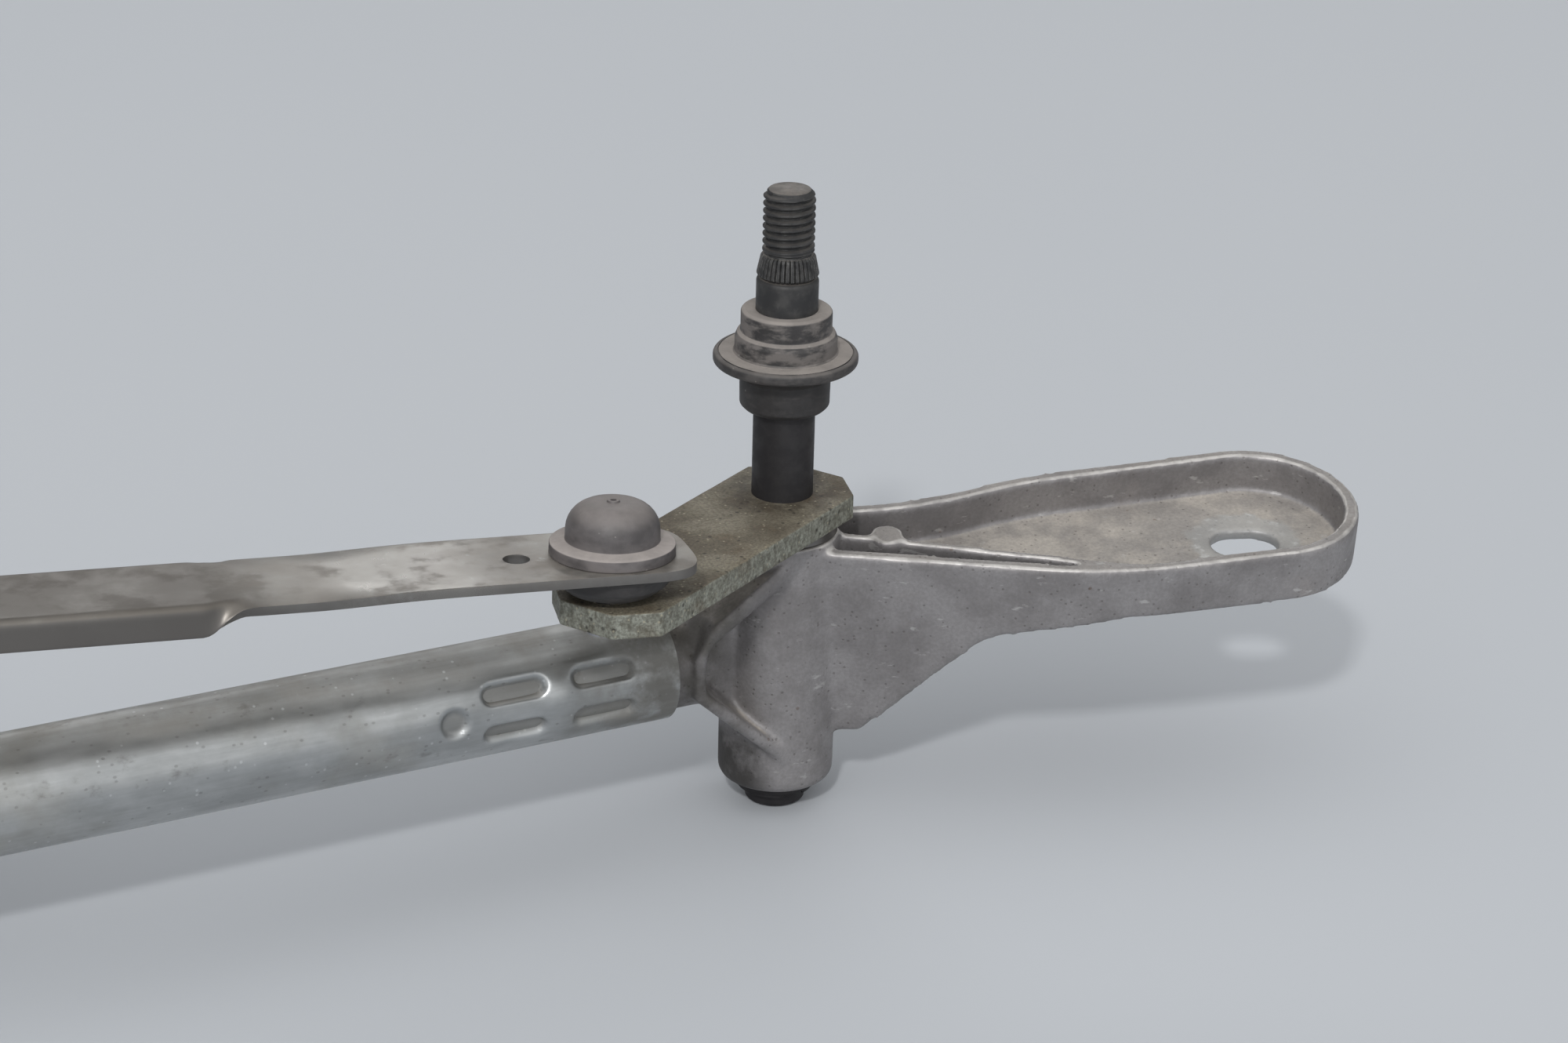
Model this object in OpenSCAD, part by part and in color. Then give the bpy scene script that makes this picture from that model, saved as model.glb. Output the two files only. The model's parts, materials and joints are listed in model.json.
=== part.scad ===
// Wiper linkage: a tube frame with a cast pivot housing at each end, two wiper
// shafts with levers, a motor bracket, a motor crank and two drive rods that
// join the crank to the levers by ball joints.
// +X runs along the frame tube towards the right pivot, +Y points to the back
// and +Z runs up along both wiper shafts. The origin is on the right shaft,
// where the thread for the arm nut begins. The rest pose is the parked one.

/* [Pivots] */
// Distance between the two wiper shafts
pivot_span = 480; // [440:5:560]
// Height of the thread's base above the lever's upper face
arm_seat_h = 50; // [48:1:60]
// Diameter of the wiper shaft
shaft_d = 12; // [11:0.5:13]
// Diameter of the thread for the arm nut
thread_d = 10; // [8:0.5:10]
// Length of the thread
thread_len = 12; // [9:1:16]
// Length of the serrated cone that carries the wiper arm
cone_len = 4.2; // [3:0.2:6]
// Length of the thread relief between cone and thread
relief_len = 0.8; // [0.6:0.1:1.5]
// Running clearance of the shaft in its bushes, on the radius
bush_clearance = 0.04; // [0.02:0.01:0.08]
// Clearance of pieces that are pressed or pushed onto each other, on the radius
seat_clearance = 0.02; // [0.02:0.01:0.04]

/* [Levers] */
// Distance from the shaft to the ball stud, and the crank's throw
lever_len = 58; // [52:1:62]
// Width of the lever
lever_w = 24.7; // [22:0.1:26]
// Thickness of the levers
lever_t = 5; // [4:0.5:6]
// Length of the lever behind the shaft
lever_tail = 13.2; // [12:0.1:16]
// Length of the lever beyond the ball stud
lever_nose = 8.2; // [7.2:0.1:12]
// Cut corners of the lever
lever_chamfer = 6.5; // [4:0.5:8]
// Direction of the right lever at rest
right_rest_angle = 210; // [204:1:214]
// Direction of the left lever at rest
left_rest_angle = 236; // [230:1:240]

/* [Ball joints] */
// Diameter of the ball
ball_d = 13; // [12:0.5:13.5]
// Height of the ball's centre above its lever
ball_h = 9.5; // [9.3:0.1:11]
// Clearance between ball and socket, on the radius
ball_clearance = 0.1; // [0.06:0.01:0.2]
// Diameter of the socket's flange
socket_flange_d = 23.3; // [21:0.1:24.5]
// Thickness of the socket's flange
socket_flange_t = 1.9; // [1.4:0.1:2.6]
// Diameter of the socket's dome
socket_dome_d = 16.8; // [16.4:0.1:18]
// Thickness of the dome's crown above the ball
socket_crown_t = 1.7; // [1.4:0.1:3]
// Gap between the boot's lip and the lever
boot_gap = 1.2; // [1:0.1:1.6]

/* [Drive rods] */
// Width of the flat rod ends
rod_end_w = 25; // [24.5:0.1:28]
// Width of the channel between the ends
rod_channel_w = 22; // [18:0.5:24]
// Depth of the channel
rod_channel_depth = 5; // [4:0.5:7]
// Thickness of the rod's sheet steel
rod_t = 1.8; // [1.5:0.1:2.2]
// Roll of the rods about the line between their balls, front edge up
rod_roll = 4; // [0:0.5:4.5]
// Gap between a lever and the rod above it
rod_gap = 6.3; // [5.8:0.1:6.6]
// Length of the rod's round end beyond the ball's axis, past its half width
rod_end_extra = 2; // [0:0.1:3]
// Distance from the ball to where the channel begins
rod_flat_len = 75; // [60:1:85]
// Distance from the ball to the small gauge hole
rod_hole_pos = 18; // [17:0.5:24]
// Diameter of the gauge hole
rod_hole_d = 3.8; // [2:0.2:5]

/* [Frame tube] */
// Outer diameter of the tube
tube_d = 22; // [20:0.5:24]
// Wall of the tube
tube_wall = 1.5; // [1.2:0.1:2]
// Depth of the tube's axis below the lever's upper face
tube_drop = 31.6; // [29:0.2:34]
// Distance from the shaft to the end of the tube
tube_gap = 27; // [25.5:0.5:30]
// Depth of the crimps that lock the tube
crimp_depth = 0.9; // [0.5:0.1:1]
// Length of one crimp
crimp_len = 12.6; // [10:0.2:14]
// Width of one crimp
crimp_w = 3.5; // [2.5:0.1:4]
// Angle around the tube between the two lines of crimps
crimp_angle = 45; // [35:1:60]
// Angle by which the crimps sit above the tube's middle
crimp_lift = 6; // [-10:1:10]

/* [Housings] */
// Diameter of the boss around the shaft
boss_d = 23; // [22:0.5:26]
// Length of the boss
boss_len = 53; // [50:0.5:58]
// Outer diameter of the bushes in the boss
bush_d = 16; // [15:0.5:17]
// Length of each bush
bush_len = 14; // [10:1:20]
// Length of the spigot inside the tube
spigot_len = 54; // [52:1:64]
// Thickness of the rib along the edge of the gusset
rib_t = 2.6; // [2:0.1:3.5]
// Half the width of the gusset's edge rib
rib_half_w = 11.2; // [10:0.1:11.4]
// Half the thickness of the gusset's web
web_half_t = 5.5; // [3:0.1:7]

/* [Fixing ears] */
// Direction of the ear, turned back from the tube's line
ear_yaw = 19.6; // [15:0.1:24]
// Twist of the ear about its own length, its rear edge up
ear_twist = 8; // [5:0.5:9]
// Distance from the shaft to the centre of the ear's round end
ear_reach = 96.8; // [88:0.2:105]
// Width of the ear in front of its line, at the front shoulder
ear_front_w = 19.7; // [18.5:0.1:21]
// Width of the ear behind its line, at the rear shoulder
ear_rear_w = 20; // [19:0.1:21.5]
// Distance from the shaft to the front shoulder
ear_front_shoulder = 64.5; // [58:0.5:70]
// Distance from the shaft to the rear shoulder
ear_rear_shoulder = 73; // [66:0.5:80]
// Radius of the long arcs at both shoulders
ear_shoulder_r = 86; // [70:1:100]
// Radius of the ear's round end
ear_end_r = 20.4; // [19:0.1:22]
// Distance of the round end's centre behind the ear's line
ear_end_y = 4.8; // [3:0.1:6]
// Distance of the ear's front edge from the shaft's axis
ear_root_r = 8.3; // [7.5:0.1:9.5]
// Half the width of the ear's narrow neck, on its back
ear_neck_y = 8.4; // [7.5:0.1:9]
// Radius of the sweep from the neck to the rear shoulder
ear_sweep_r = 77; // [60:1:90]
// Depth of the front wall where it meets the boss
front_wall_depth = 41.3; // [38:0.1:44]
// Length of the front wall's lower edge at the boss
front_wall_foot = 16; // [14:0.1:20]
// Length at which the front wall meets the rim's lower edge
front_wall_len = 66; // [58:1:72]
// Thickness of the rim
ear_wall = 3; // [2.4:0.1:3.6]
// Height of the rim
ear_rim_h = 11.3; // [10:0.1:14]
// Depth of the floor below the rim
ear_floor_depth = 8.3; // [7:0.1:8.6]
// Thickness of the floor
ear_floor_t = 2.6; // [2:0.1:3.4]
// Depth of the rim below the lever's upper face
ear_drop = 8; // [7.8:0.1:9.5]
// Width of the bolt slot
slot_w = 9; // [7:0.5:10.5]
// Length of the bolt slot
slot_len = 13.5; // [12:0.5:16]
// Distance from the shaft to the middle of the slot
slot_reach = 94.5; // [86:0.5:98]
// Distance of the slot's middle behind the ear's line
slot_y = 2.3; // [0:0.1:4]

/* [Motor bracket and crank] */
// Distance of the motor axis from the right shaft, along the tube
motor_x = 236; // [226:1:250]
// Distance of the motor axis behind the tube
motor_y = 42; // [40:1:48]
// Height of the crank's upper face above the levers' upper faces
crank_rise = 8; // [7:0.5:10]
// Thickness of the crank
crank_t = 5; // [4:0.5:6]
// Diameter of the crank's bore for the motor shaft
crank_bore_d = 10; // [8:0.5:12]
// Diameter of the circle of motor bolts
motor_pcd = 60; // [54:1:64]
// Diameter of the motor bolt holes
motor_hole_d = 6.6; // [5.5:0.1:7]
// Diameter of the hole for the motor's gear boss
motor_boss_d = 32; // [28:1:36]
// Thickness of the bracket's sheet steel
bracket_t = 3; // [2:0.5:4]
// Radius of the bracket's round plate
bracket_r = 42; // [40:0.5:46]
// Height of the bracket's rim
bracket_rim_h = 8; // [4:0.5:9]
// Length of the bracket's saddle on the tube
saddle_len = 70; // [50:1:90]

/* [Hidden] */
$fn = 64;

// Colours of the finishes
zinc = [0.66, 0.68, 0.69];
olive_zinc = [0.47, 0.44, 0.33];
cast_grey = [0.58, 0.56, 0.54];
dark_steel = [0.23, 0.22, 0.21];
bright_steel = [0.72, 0.72, 0.73];
bronze = [0.62, 0.47, 0.28];
rubber_grey = [0.38, 0.36, 0.35];
rubber_black = [0.08, 0.08, 0.08];

// A cut runs this far past the face that it opens
over = 1;
// Play left where a turning face runs on a standing one
axial_play = 0.25;

// Levels on each shaft, measured from the lever's upper face
lever_z = -arm_seat_h;
thrust_washer_t = 2.5;
boss_top = -lever_t - thrust_washer_t - axial_play;
boss_bottom = boss_top - boss_len;
lower_washer_t = 1;
lower_washer_top = boss_bottom - axial_play;
ring_t = 1.2;
ring_top = lower_washer_top - lower_washer_t;
shaft_end_len = 3;
shaft_bottom = ring_top - ring_t - shaft_end_len;
shaft_r = shaft_d / 2;
bush_r = bush_d / 2;
boss_r = boss_d / 2;
tube_r = tube_d / 2;
spigot_r = tube_r - tube_wall - seat_clearance;
groove_depth = 1;
groove_r = shaft_r - groove_depth;
cone_taper = 0.9;
cone_top_r = shaft_r - cone_taper;
relief_depth = 0.8;
shaft_chamfer = 0.8;
thrust_washer_r = boss_r - 0.5;
lower_washer_r = bush_r + 0.6;
ring_r = shaft_r + 1.6;
ring_gap_w = 5;

// Steps of the seal, as heights above the lever's upper face
seal_ring_bottom = 18;
seal_ring_top = 26.4;
seal_ring_r = shaft_r + 2.8;
flange_r = shaft_r + 8;
flange_bottom = 27.2;
flange_top = 29.4;
seal_step_r = shaft_r + 3.8;
seal_step_top = 33;
seal_collar_r = shaft_r + 2.8;
seal_top = 38.1;
seal_neck_r = shaft_r + 1.8;
seal_cup = 0.6;
seal_edge = 0.8;

// Ball joint
ball_r = ball_d / 2;
cavity_r = ball_r + ball_clearance;
stud_neck_r = 3.6;
stud_collar_r = 5.4;
stud_collar_t = 1.2;
stud_shank_r = 4;
stud_head_r = 6;
stud_head_t = 1.5;
strip_bottom = rod_gap - ball_h;
strip_top = strip_bottom + rod_t;
skirt_step = 0.8;
skirt_r = socket_dome_d / 2 - skirt_step;
dome_top = cavity_r + socket_crown_t;
dome_edge_r = 5;
mouth_drop = 4;
mouth_lip = 0.9;
skirt_bottom = -mouth_drop - mouth_lip;
mouth_r = sqrt(cavity_r * cavity_r - mouth_drop * mouth_drop);

// Places of the linkage's pivots in plan
function polar(r, a) = [r * cos(a), r * sin(a)];
motor = [-motor_x, motor_y];
left_pivot = [-pivot_span, 0];
right_ball = polar(lever_len, right_rest_angle);
left_ball = left_pivot + polar(lever_len, left_rest_angle);

// Each rod runs from its lever's ball to the crank's ball
right_run = motor;
right_rise = crank_rise;
left_run = motor - left_pivot;
left_rise = crank_rise - crank_t + lever_t;
right_rod_len = norm([right_run.x, right_run.y, right_rise]);
left_rod_len = norm([left_run.x, left_run.y, left_rise]);

// Knee in the front wall's lower edge, as length and height
front_wall_knee = [39, -16.4];

// Flat shape between the two outer tangents of two circles on the X axis
module tapered_web(x1, r1, x2, r2) {
    a = asin((r2 - r1) / (x2 - x1));
    polygon([
        [x1 - r1 * sin(a), r1 * cos(a)], [x2 - r2 * sin(a), r2 * cos(a)],
        [x2 - r2 * sin(a), -r2 * cos(a)], [x1 - r1 * sin(a), -r1 * cos(a)]
    ]);
}

// Flat slot with round ends, along X
module slot_shape(length, width) {
    square([length - width, width], center = true);
    for (s = [-1, 1]) translate([s * (length - width) / 2, 0]) circle(d = width);
}

module ring(r_in, r_out, bottom, top) {
    translate([0, 0, bottom]) difference() {
        cylinder(r = r_out, h = top - bottom);
        translate([0, 0, -over]) cylinder(r = r_in, h = top - bottom + 2 * over);
    }
}

// Places of the pivots: each takes heights measured from the levers' upper faces
module at_right_pivot() { translate([0, 0, lever_z]) children(); }
module at_left_pivot() { translate([left_pivot.x, left_pivot.y, lever_z]) children(); }
module at_motor() { translate([motor.x, motor.y, lever_z]) children(); }

// Frame of a rod: the origin is the lever's ball, +X leads to the crank's ball
module along_rod(ball, height, run, rise, turn) {
    translate([ball.x, ball.y, lever_z + height])
        rotate([0, -atan2(rise, norm(run)), atan2(run.y, run.x)]) rotate([turn, 0, 0]) children();
}
module along_right_rod() {
    along_rod(right_ball, ball_h, right_run, right_rise, rod_roll) children();
}
// The left rod hangs below its lever and the crank
module along_left_rod() {
    along_rod(left_ball, -lever_t - ball_h, left_run, left_rise, 180 - rod_roll) children();
}

// Frame tube

crimp_margin = 3;
crimp_row_gap = 6;
crimp_first_row = tube_gap + crimp_len + crimp_margin;
crimp_second_row = crimp_first_row + crimp_len + crimp_row_gap;
dimple_pos = crimp_second_row + crimp_len;
dimple_sphere_r = 5;
dimple_depth = 1;

// Crimps at the right end of the tube, pressed in from the front and the back
module tube_crimps() {
    for (side = [0, 180]) rotate([side - crimp_lift, 0, 0]) {
        for (a = [-crimp_angle / 2, crimp_angle / 2], row = [crimp_first_row, crimp_second_row])
            rotate([a, 0, 0]) translate([-row, -tube_r + crimp_depth, 0]) rotate([90, 0, 0])
                linear_extrude(2 * crimp_depth) slot_shape(crimp_len, crimp_w);
        translate([-dimple_pos, -tube_r - dimple_sphere_r + dimple_depth, 0])
            sphere(dimple_sphere_r);
    }
}

module frame_tube() {
    color(zinc) translate([0, 0, lever_z - tube_drop]) difference() {
        translate([-tube_gap, 0, 0]) rotate([0, -90, 0])
            ring(tube_r - tube_wall, tube_r, 0, pivot_span - 2 * tube_gap);
        tube_crimps();
        translate([-pivot_span, 0, 0]) mirror([1, 0, 0]) tube_crimps();
    }
}

// Housings

boss_edge_r = 2;
spigot_nose = 1.5;
gusset_top = boss_top - 0.4;
gusset_tip_x = -tube_gap + 3.4;
gusset_tip_half_h = 4.2;
gusset_foot = boss_bottom + 7;
gusset_root = 4;
// Shares of the rib's thickness that its slanted legs take in height and at the tip
leg_share = 1.4;
tip_share = 0.4;
washer_recess_gap = 0.6;

module boss() {
    rotate_extrude() {
        translate([0, boss_bottom + boss_edge_r]) square([boss_r, boss_len - boss_edge_r]);
        translate([0, boss_bottom]) square([boss_r - boss_edge_r, boss_len]);
        translate([boss_r - boss_edge_r, boss_bottom + boss_edge_r]) circle(boss_edge_r, $fn = 32);
    }
}

module spigot() {
    translate([0, 0, -tube_drop]) rotate([0, -90, 0]) {
        cylinder(r = spigot_r, h = tube_gap + spigot_len - spigot_nose);
        translate([0, 0, tube_gap + spigot_len - spigot_nose])
            cylinder(r1 = spigot_r, r2 = spigot_r - spigot_nose, h = spigot_nose);
    }
}

// Outline of the gusset between boss and spigot, drawn in X and height
module gusset_shape(inset) {
    leg = inset * leg_share;
    tip = gusset_tip_half_h - inset * tip_share;
    polygon([
        [gusset_root, gusset_top - leg],
        [gusset_tip_x + inset, -tube_drop + tip], [gusset_tip_x + inset, -tube_drop - tip],
        [-gusset_root, gusset_foot + leg], [gusset_root, gusset_foot + leg]
    ]);
}

// Web between boss and spigot with a raised rib along its edge
module gusset() {
    rotate([90, 0, 0]) {
        linear_extrude(2 * web_half_t, center = true) gusset_shape(0);
        linear_extrude(2 * rib_half_w, center = true) difference() {
            gusset_shape(0);
            gusset_shape(rib_t);
        }
    }
}

// Frame of the ear: its origin is on the shaft in the plane of the rim
module along_ear() {
    translate([0, 0, -ear_drop]) rotate([ear_twist, 0, -ear_yaw]) children();
}

// Short steps in each long arc of the ear's outline
ear_arc_steps = 8;
// Depth at which the straight edges end inside the ear's round end
ear_end_lap = 0.1;

// Direction from both centres to where the outer tangent of two circles touches
// them, to the left (1) or right (-1) of the way from the first to the second
function tangent_a(c1, r1, c2, r2, side) =
    let (run = c2 - c1) atan2(run.y, run.x) + side * acos((r1 - r2) / norm(run));
function on_circle(centre, r, a) = centre + r * [cos(a), sin(a)];
function arc(centre, r, from, to, first) =
    [for (k = [first:ear_arc_steps]) on_circle(centre, r, from + (to - from) * k / ear_arc_steps)];

// Outline of the ear: a straight front edge, a narrow neck behind the shaft that
// sweeps out in an arc, long arcs at both shoulders and a round end
module ear_shape(inset) {
    root = [0, 0];
    front = [ear_front_shoulder, ear_shoulder_r - ear_front_w];
    rear = [ear_rear_shoulder, ear_rear_w - ear_shoulder_r];
    end = [ear_reach, ear_end_y];
    sweep_y = ear_neck_y + ear_sweep_r;
    sweep_x = rear.x - sqrt(pow(ear_sweep_r + ear_shoulder_r, 2) - pow(sweep_y - rear.y, 2));
    front_a = tangent_a(root, ear_root_r, front, ear_shoulder_r, -1);
    front_end_a = tangent_a(front, ear_shoulder_r, end, ear_end_r, -1);
    rear_end_a = tangent_a(rear, ear_shoulder_r, end, ear_end_r, 1);
    rear_a = atan2(sweep_y - rear.y, sweep_x - rear.x);
    lap_r = ear_end_r - inset - ear_end_lap;
    circle(ear_root_r - inset);
    translate(end) circle(ear_end_r - inset);
    polygon(concat(
        [on_circle(root, ear_root_r - inset, front_a)],
        arc(front, ear_shoulder_r - inset, front_a, front_end_a, 0),
        [on_circle(end, lap_r, front_end_a), on_circle(end, lap_r, rear_end_a)],
        arc(rear, ear_shoulder_r - inset, rear_end_a, rear_a, 0),
        arc([sweep_x, sweep_y], ear_sweep_r + inset, rear_a + 180, 270, 1),
        [[0, ear_neck_y - inset]]
    ));
}

// Cast rib that runs from the boss into the front wall, and the pin that stands on it
ear_pin_pos = [20.7, -2.3];
ear_pin_r = 3.2;
ear_rib_w = 2;
ear_rib_drop = 0.4;
ear_rib_turn = 15.5;
ear_rib_set = 1.9;

module ear_rib_shape() {
    intersection() {
        translate([ear_pin_pos.x, ear_pin_pos.y - ear_rib_set]) rotate(-ear_rib_turn)
            square([2 * ear_reach, ear_rib_w], center = true);
        ear_shape(ear_wall / 2);
    }
}

// What is cut away below the front wall's lower edge, drawn in length and height
module front_wall_cut() {
    low = -front_wall_depth - over;
    past = ear_reach + 2 * ear_end_r;
    polygon([
        [front_wall_foot, low], [front_wall_foot, -front_wall_depth], front_wall_knee,
        [front_wall_len, -ear_rim_h], [past, -ear_rim_h], [past, low]
    ]);
}

module ear() {
    floor_z = -ear_floor_depth;
    past = ear_reach + 2 * ear_end_r;
    difference() {
        translate([0, 0, -front_wall_depth]) linear_extrude(front_wall_depth) ear_shape(0);
        translate([0, 0, floor_z]) linear_extrude(ear_floor_depth + over) ear_shape(ear_wall);
        translate([0, 0, -front_wall_depth - over])
            linear_extrude(front_wall_depth + over + floor_z - ear_floor_t) ear_shape(ear_wall);
        translate([-past, -ear_root_r / 2, -front_wall_depth - over])
            cube([2 * past, past, front_wall_depth + over - ear_rim_h]);
        rotate([90, 0, 0]) linear_extrude(past) front_wall_cut();
        translate([slot_reach, slot_y, floor_z - ear_floor_t - over])
            linear_extrude(ear_floor_t + 2 * over) slot_shape(slot_len, slot_w);
    }
    translate([ear_pin_pos.x, ear_pin_pos.y, floor_z - over])
        cylinder(r = ear_pin_r, h = ear_floor_depth + over);
    translate([0, 0, floor_z - over])
        linear_extrude(ear_floor_depth - ear_rib_drop + over) ear_rib_shape();
}

module housing() {
    color(cast_grey) difference() {
        union() {
            boss();
            spigot();
            gusset();
            along_ear() ear();
        }
        translate([0, 0, boss_bottom - over])
            cylinder(r = bush_r + seat_clearance, h = boss_len + 2 * over);
        translate([0, 0, boss_top]) cylinder(r = boss_r + washer_recess_gap, h = thrust_washer_t);
    }
}

module bush(bottom) {
    color(bronze) ring(shaft_r + bush_clearance, bush_r, bottom, bottom + bush_len);
}

// Wiper shafts and what turns with them

module shaft() {
    thread_r = thread_d / 2;
    relief_r = thread_r - relief_depth;
    cone_base = arm_seat_h - relief_len - cone_len;
    color(dark_steel) rotate_extrude() polygon([
        [0, shaft_bottom], [shaft_r - shaft_chamfer, shaft_bottom],
        [shaft_r, shaft_bottom + shaft_chamfer],
        [shaft_r, ring_top - ring_t - seat_clearance],
        [groove_r, ring_top - ring_t - seat_clearance],
        [groove_r, ring_top + seat_clearance], [shaft_r, ring_top + seat_clearance],
        [shaft_r, cone_base], [cone_top_r, cone_base + cone_len],
        [relief_r, cone_base + cone_len], [relief_r, arm_seat_h],
        [thread_r, arm_seat_h], [thread_r, arm_seat_h + thread_len - shaft_chamfer],
        [thread_r - shaft_chamfer, arm_seat_h + thread_len], [0, arm_seat_h + thread_len]
    ]);
}

module lever(angle) {
    nose = lever_len + lever_nose;
    half = lever_w / 2;
    c = lever_chamfer;
    color(olive_zinc) rotate([0, 0, angle]) translate([0, 0, -lever_t]) linear_extrude(lever_t)
        difference() {
            polygon([
                [c - lever_tail, -half], [nose - c, -half], [nose, c - half], [nose, half - c],
                [nose - c, half], [c - lever_tail, half], [-lever_tail, half - c],
                [-lever_tail, c - half]
            ]);
            circle(shaft_r + seat_clearance);
            translate([lever_len, 0]) circle(stud_shank_r + seat_clearance);
        }
}

// Ball stud riveted through a plate whose outer face is at height 0
module ball_stud(plate_t) {
    color(bright_steel) {
        translate([0, 0, ball_h]) sphere(ball_r);
        cylinder(r = stud_neck_r, h = ball_h);
        cylinder(r = stud_collar_r, h = stud_collar_t);
        translate([0, 0, -plate_t]) cylinder(r = stud_shank_r, h = plate_t);
        translate([0, 0, -plate_t - stud_head_t]) cylinder(r = stud_head_r, h = stud_head_t);
    }
}

// Flanged rubber seal for the scuttle panel
module shaft_seal() {
    rim_r = (flange_top - flange_bottom) / 2;
    color(rubber_grey) rotate_extrude() difference() {
        union() {
            translate([0, seal_ring_top])
                square([seal_neck_r, flange_bottom - seal_ring_top]);
            polygon([
                [0, flange_bottom - seal_cup], [seal_step_r, flange_bottom - seal_cup],
                [flange_r - rim_r, flange_bottom], [flange_r - rim_r, flange_top],
                [seal_step_r, flange_top], [seal_step_r, seal_step_top],
                [seal_collar_r, seal_step_top], [seal_collar_r, seal_top - seal_edge],
                [seal_collar_r - seal_edge, seal_top], [0, seal_top]
            ]);
            translate([flange_r - rim_r, flange_bottom + rim_r]) circle(rim_r, $fn = 32);
        }
        square([shaft_r + seat_clearance, seal_top + over]);
    }
}

module seal_ring() {
    color(rubber_black) ring(shaft_r + seat_clearance, seal_ring_r, seal_ring_bottom, seal_ring_top);
}

module thrust_washer() {
    color(dark_steel)
        ring(shaft_r + seat_clearance, thrust_washer_r, -lever_t - thrust_washer_t, -lever_t);
}

module lower_washer() {
    color(dark_steel)
        ring(shaft_r + seat_clearance, lower_washer_r, lower_washer_top - lower_washer_t, lower_washer_top);
}

module retaining_ring() {
    color(dark_steel) difference() {
        ring(groove_r + seat_clearance, ring_r, ring_top - ring_t, ring_top);
        translate([-ring_gap_w / 2, -2 * shaft_r, ring_top - ring_t - over])
            cube([ring_gap_w, 2 * shaft_r, ring_t + 2 * over]);
    }
}

// Motor crank

crank_hub_r = 14;
crank_end_r = 11.5;
crank_collar_r = 9.5;
crank_collar_t = 6;

// Two arms on one hub, each in line with its lever
module crank_shape() {
    circle(crank_hub_r);
    for (a = [right_rest_angle, left_rest_angle]) rotate(a) {
        tapered_web(0, crank_hub_r, lever_len, crank_end_r);
        translate([lever_len, 0]) circle(crank_end_r);
    }
}

module motor_crank() {
    color(olive_zinc) translate([0, 0, crank_rise - crank_t]) difference() {
        union() {
            linear_extrude(crank_t) crank_shape();
            translate([0, 0, -crank_collar_t])
                cylinder(r = crank_collar_r, h = crank_collar_t + crank_t / 2);
        }
        translate([0, 0, -crank_collar_t - over])
            cylinder(d = crank_bore_d, h = crank_collar_t + crank_t + 2 * over);
        for (a = [right_rest_angle, left_rest_angle]) rotate([0, 0, a])
            translate([lever_len, 0, -over])
                cylinder(r = stud_shank_r + seat_clearance, h = crank_t + 2 * over);
    }
}

// Drive rods: heights are measured from the balls' centres

rod_taper_len = 25;
rod_flange_h = rod_channel_depth - rod_t;
rod_bend_r = 2;
rod_step_len = 8;

module rod_shape(length) {
    flat = rod_flat_len - rod_taper_len;
    e = rod_end_w / 2;
    c = rod_channel_w / 2;
    start = -rod_end_extra;
    end = length + rod_end_extra;
    for (x = [start, end]) translate([x, 0]) circle(d = rod_end_w);
    polygon([
        [start, -e], [flat, -e], [rod_flat_len, -c], [length - rod_flat_len, -c],
        [length - flat, -e], [end, -e], [end, e], [length - flat, e],
        [length - rod_flat_len, c], [rod_flat_len, c], [flat, e], [start, e]
    ]);
}

// Side flange of the channel, its lower corners cut round at both ends
module rod_flange(length) {
    full = length - 2 * rod_flat_len;
    rotate([90, 0, 0]) linear_extrude(rod_t, center = true) {
        translate([rod_flat_len - rod_step_len, strip_bottom - rod_flange_h / 2])
            square([full + 2 * rod_step_len, rod_flange_h / 2 + rod_t / 2]);
        translate([rod_flat_len + rod_bend_r, strip_bottom - rod_flange_h])
            square([full - 2 * rod_bend_r, rod_flange_h]);
        for (x = [rod_flat_len + rod_bend_r, length - rod_flat_len - rod_bend_r])
            translate([x, strip_bottom - rod_flange_h + rod_bend_r]) circle(rod_bend_r, $fn = 32);
    }
}

module rod(length) {
    color(zinc) difference() {
        union() {
            translate([0, 0, strip_bottom]) linear_extrude(rod_t) rod_shape(length);
            for (s = [-1, 1])
                translate([0, s * (rod_channel_w - rod_t) / 2, 0]) rod_flange(length);
        }
        for (x = [0, length]) translate([x, 0, strip_bottom - over])
            cylinder(r = skirt_r + seat_clearance, h = rod_t + 2 * over);
        for (x = [rod_hole_pos, length - rod_hole_pos]) translate([x, 0, strip_bottom - over])
            cylinder(d = rod_hole_d, h = rod_t + 2 * over);
    }
}

// Plastic socket with a domed cap, pushed through the rod from above
module socket() {
    dome_r = socket_dome_d / 2;
    color(rubber_grey) difference() {
        rotate_extrude() intersection() {
            union() {
                translate([0, skirt_bottom]) square([skirt_r, strip_top - skirt_bottom]);
                translate([0, strip_top]) square([socket_flange_d / 2, socket_flange_t]);
                translate([0, strip_top]) square([dome_r, dome_top - dome_edge_r - strip_top]);
                translate([0, strip_top]) square([dome_r - dome_edge_r, dome_top - strip_top]);
                translate([dome_r - dome_edge_r, dome_top - dome_edge_r]) circle(dome_edge_r);
            }
            translate([0, skirt_bottom]) square([socket_flange_d, dome_top - skirt_bottom]);
        }
        sphere(cavity_r);
        translate([0, 0, -ball_h]) cylinder(r = mouth_r, h = ball_h - mouth_drop);
    }
}

boot_lip_r = stud_collar_r + 1.4;
boot_lip_t = 0.8;
boot_wall = 1.5;
boot_belly_r = 11;
boot_hip_r = 10.6;
boot_hip_h = 1.9;
boot_shoulder_h = 1.4;
boot_bore_r = skirt_r + 0.3;

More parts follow.
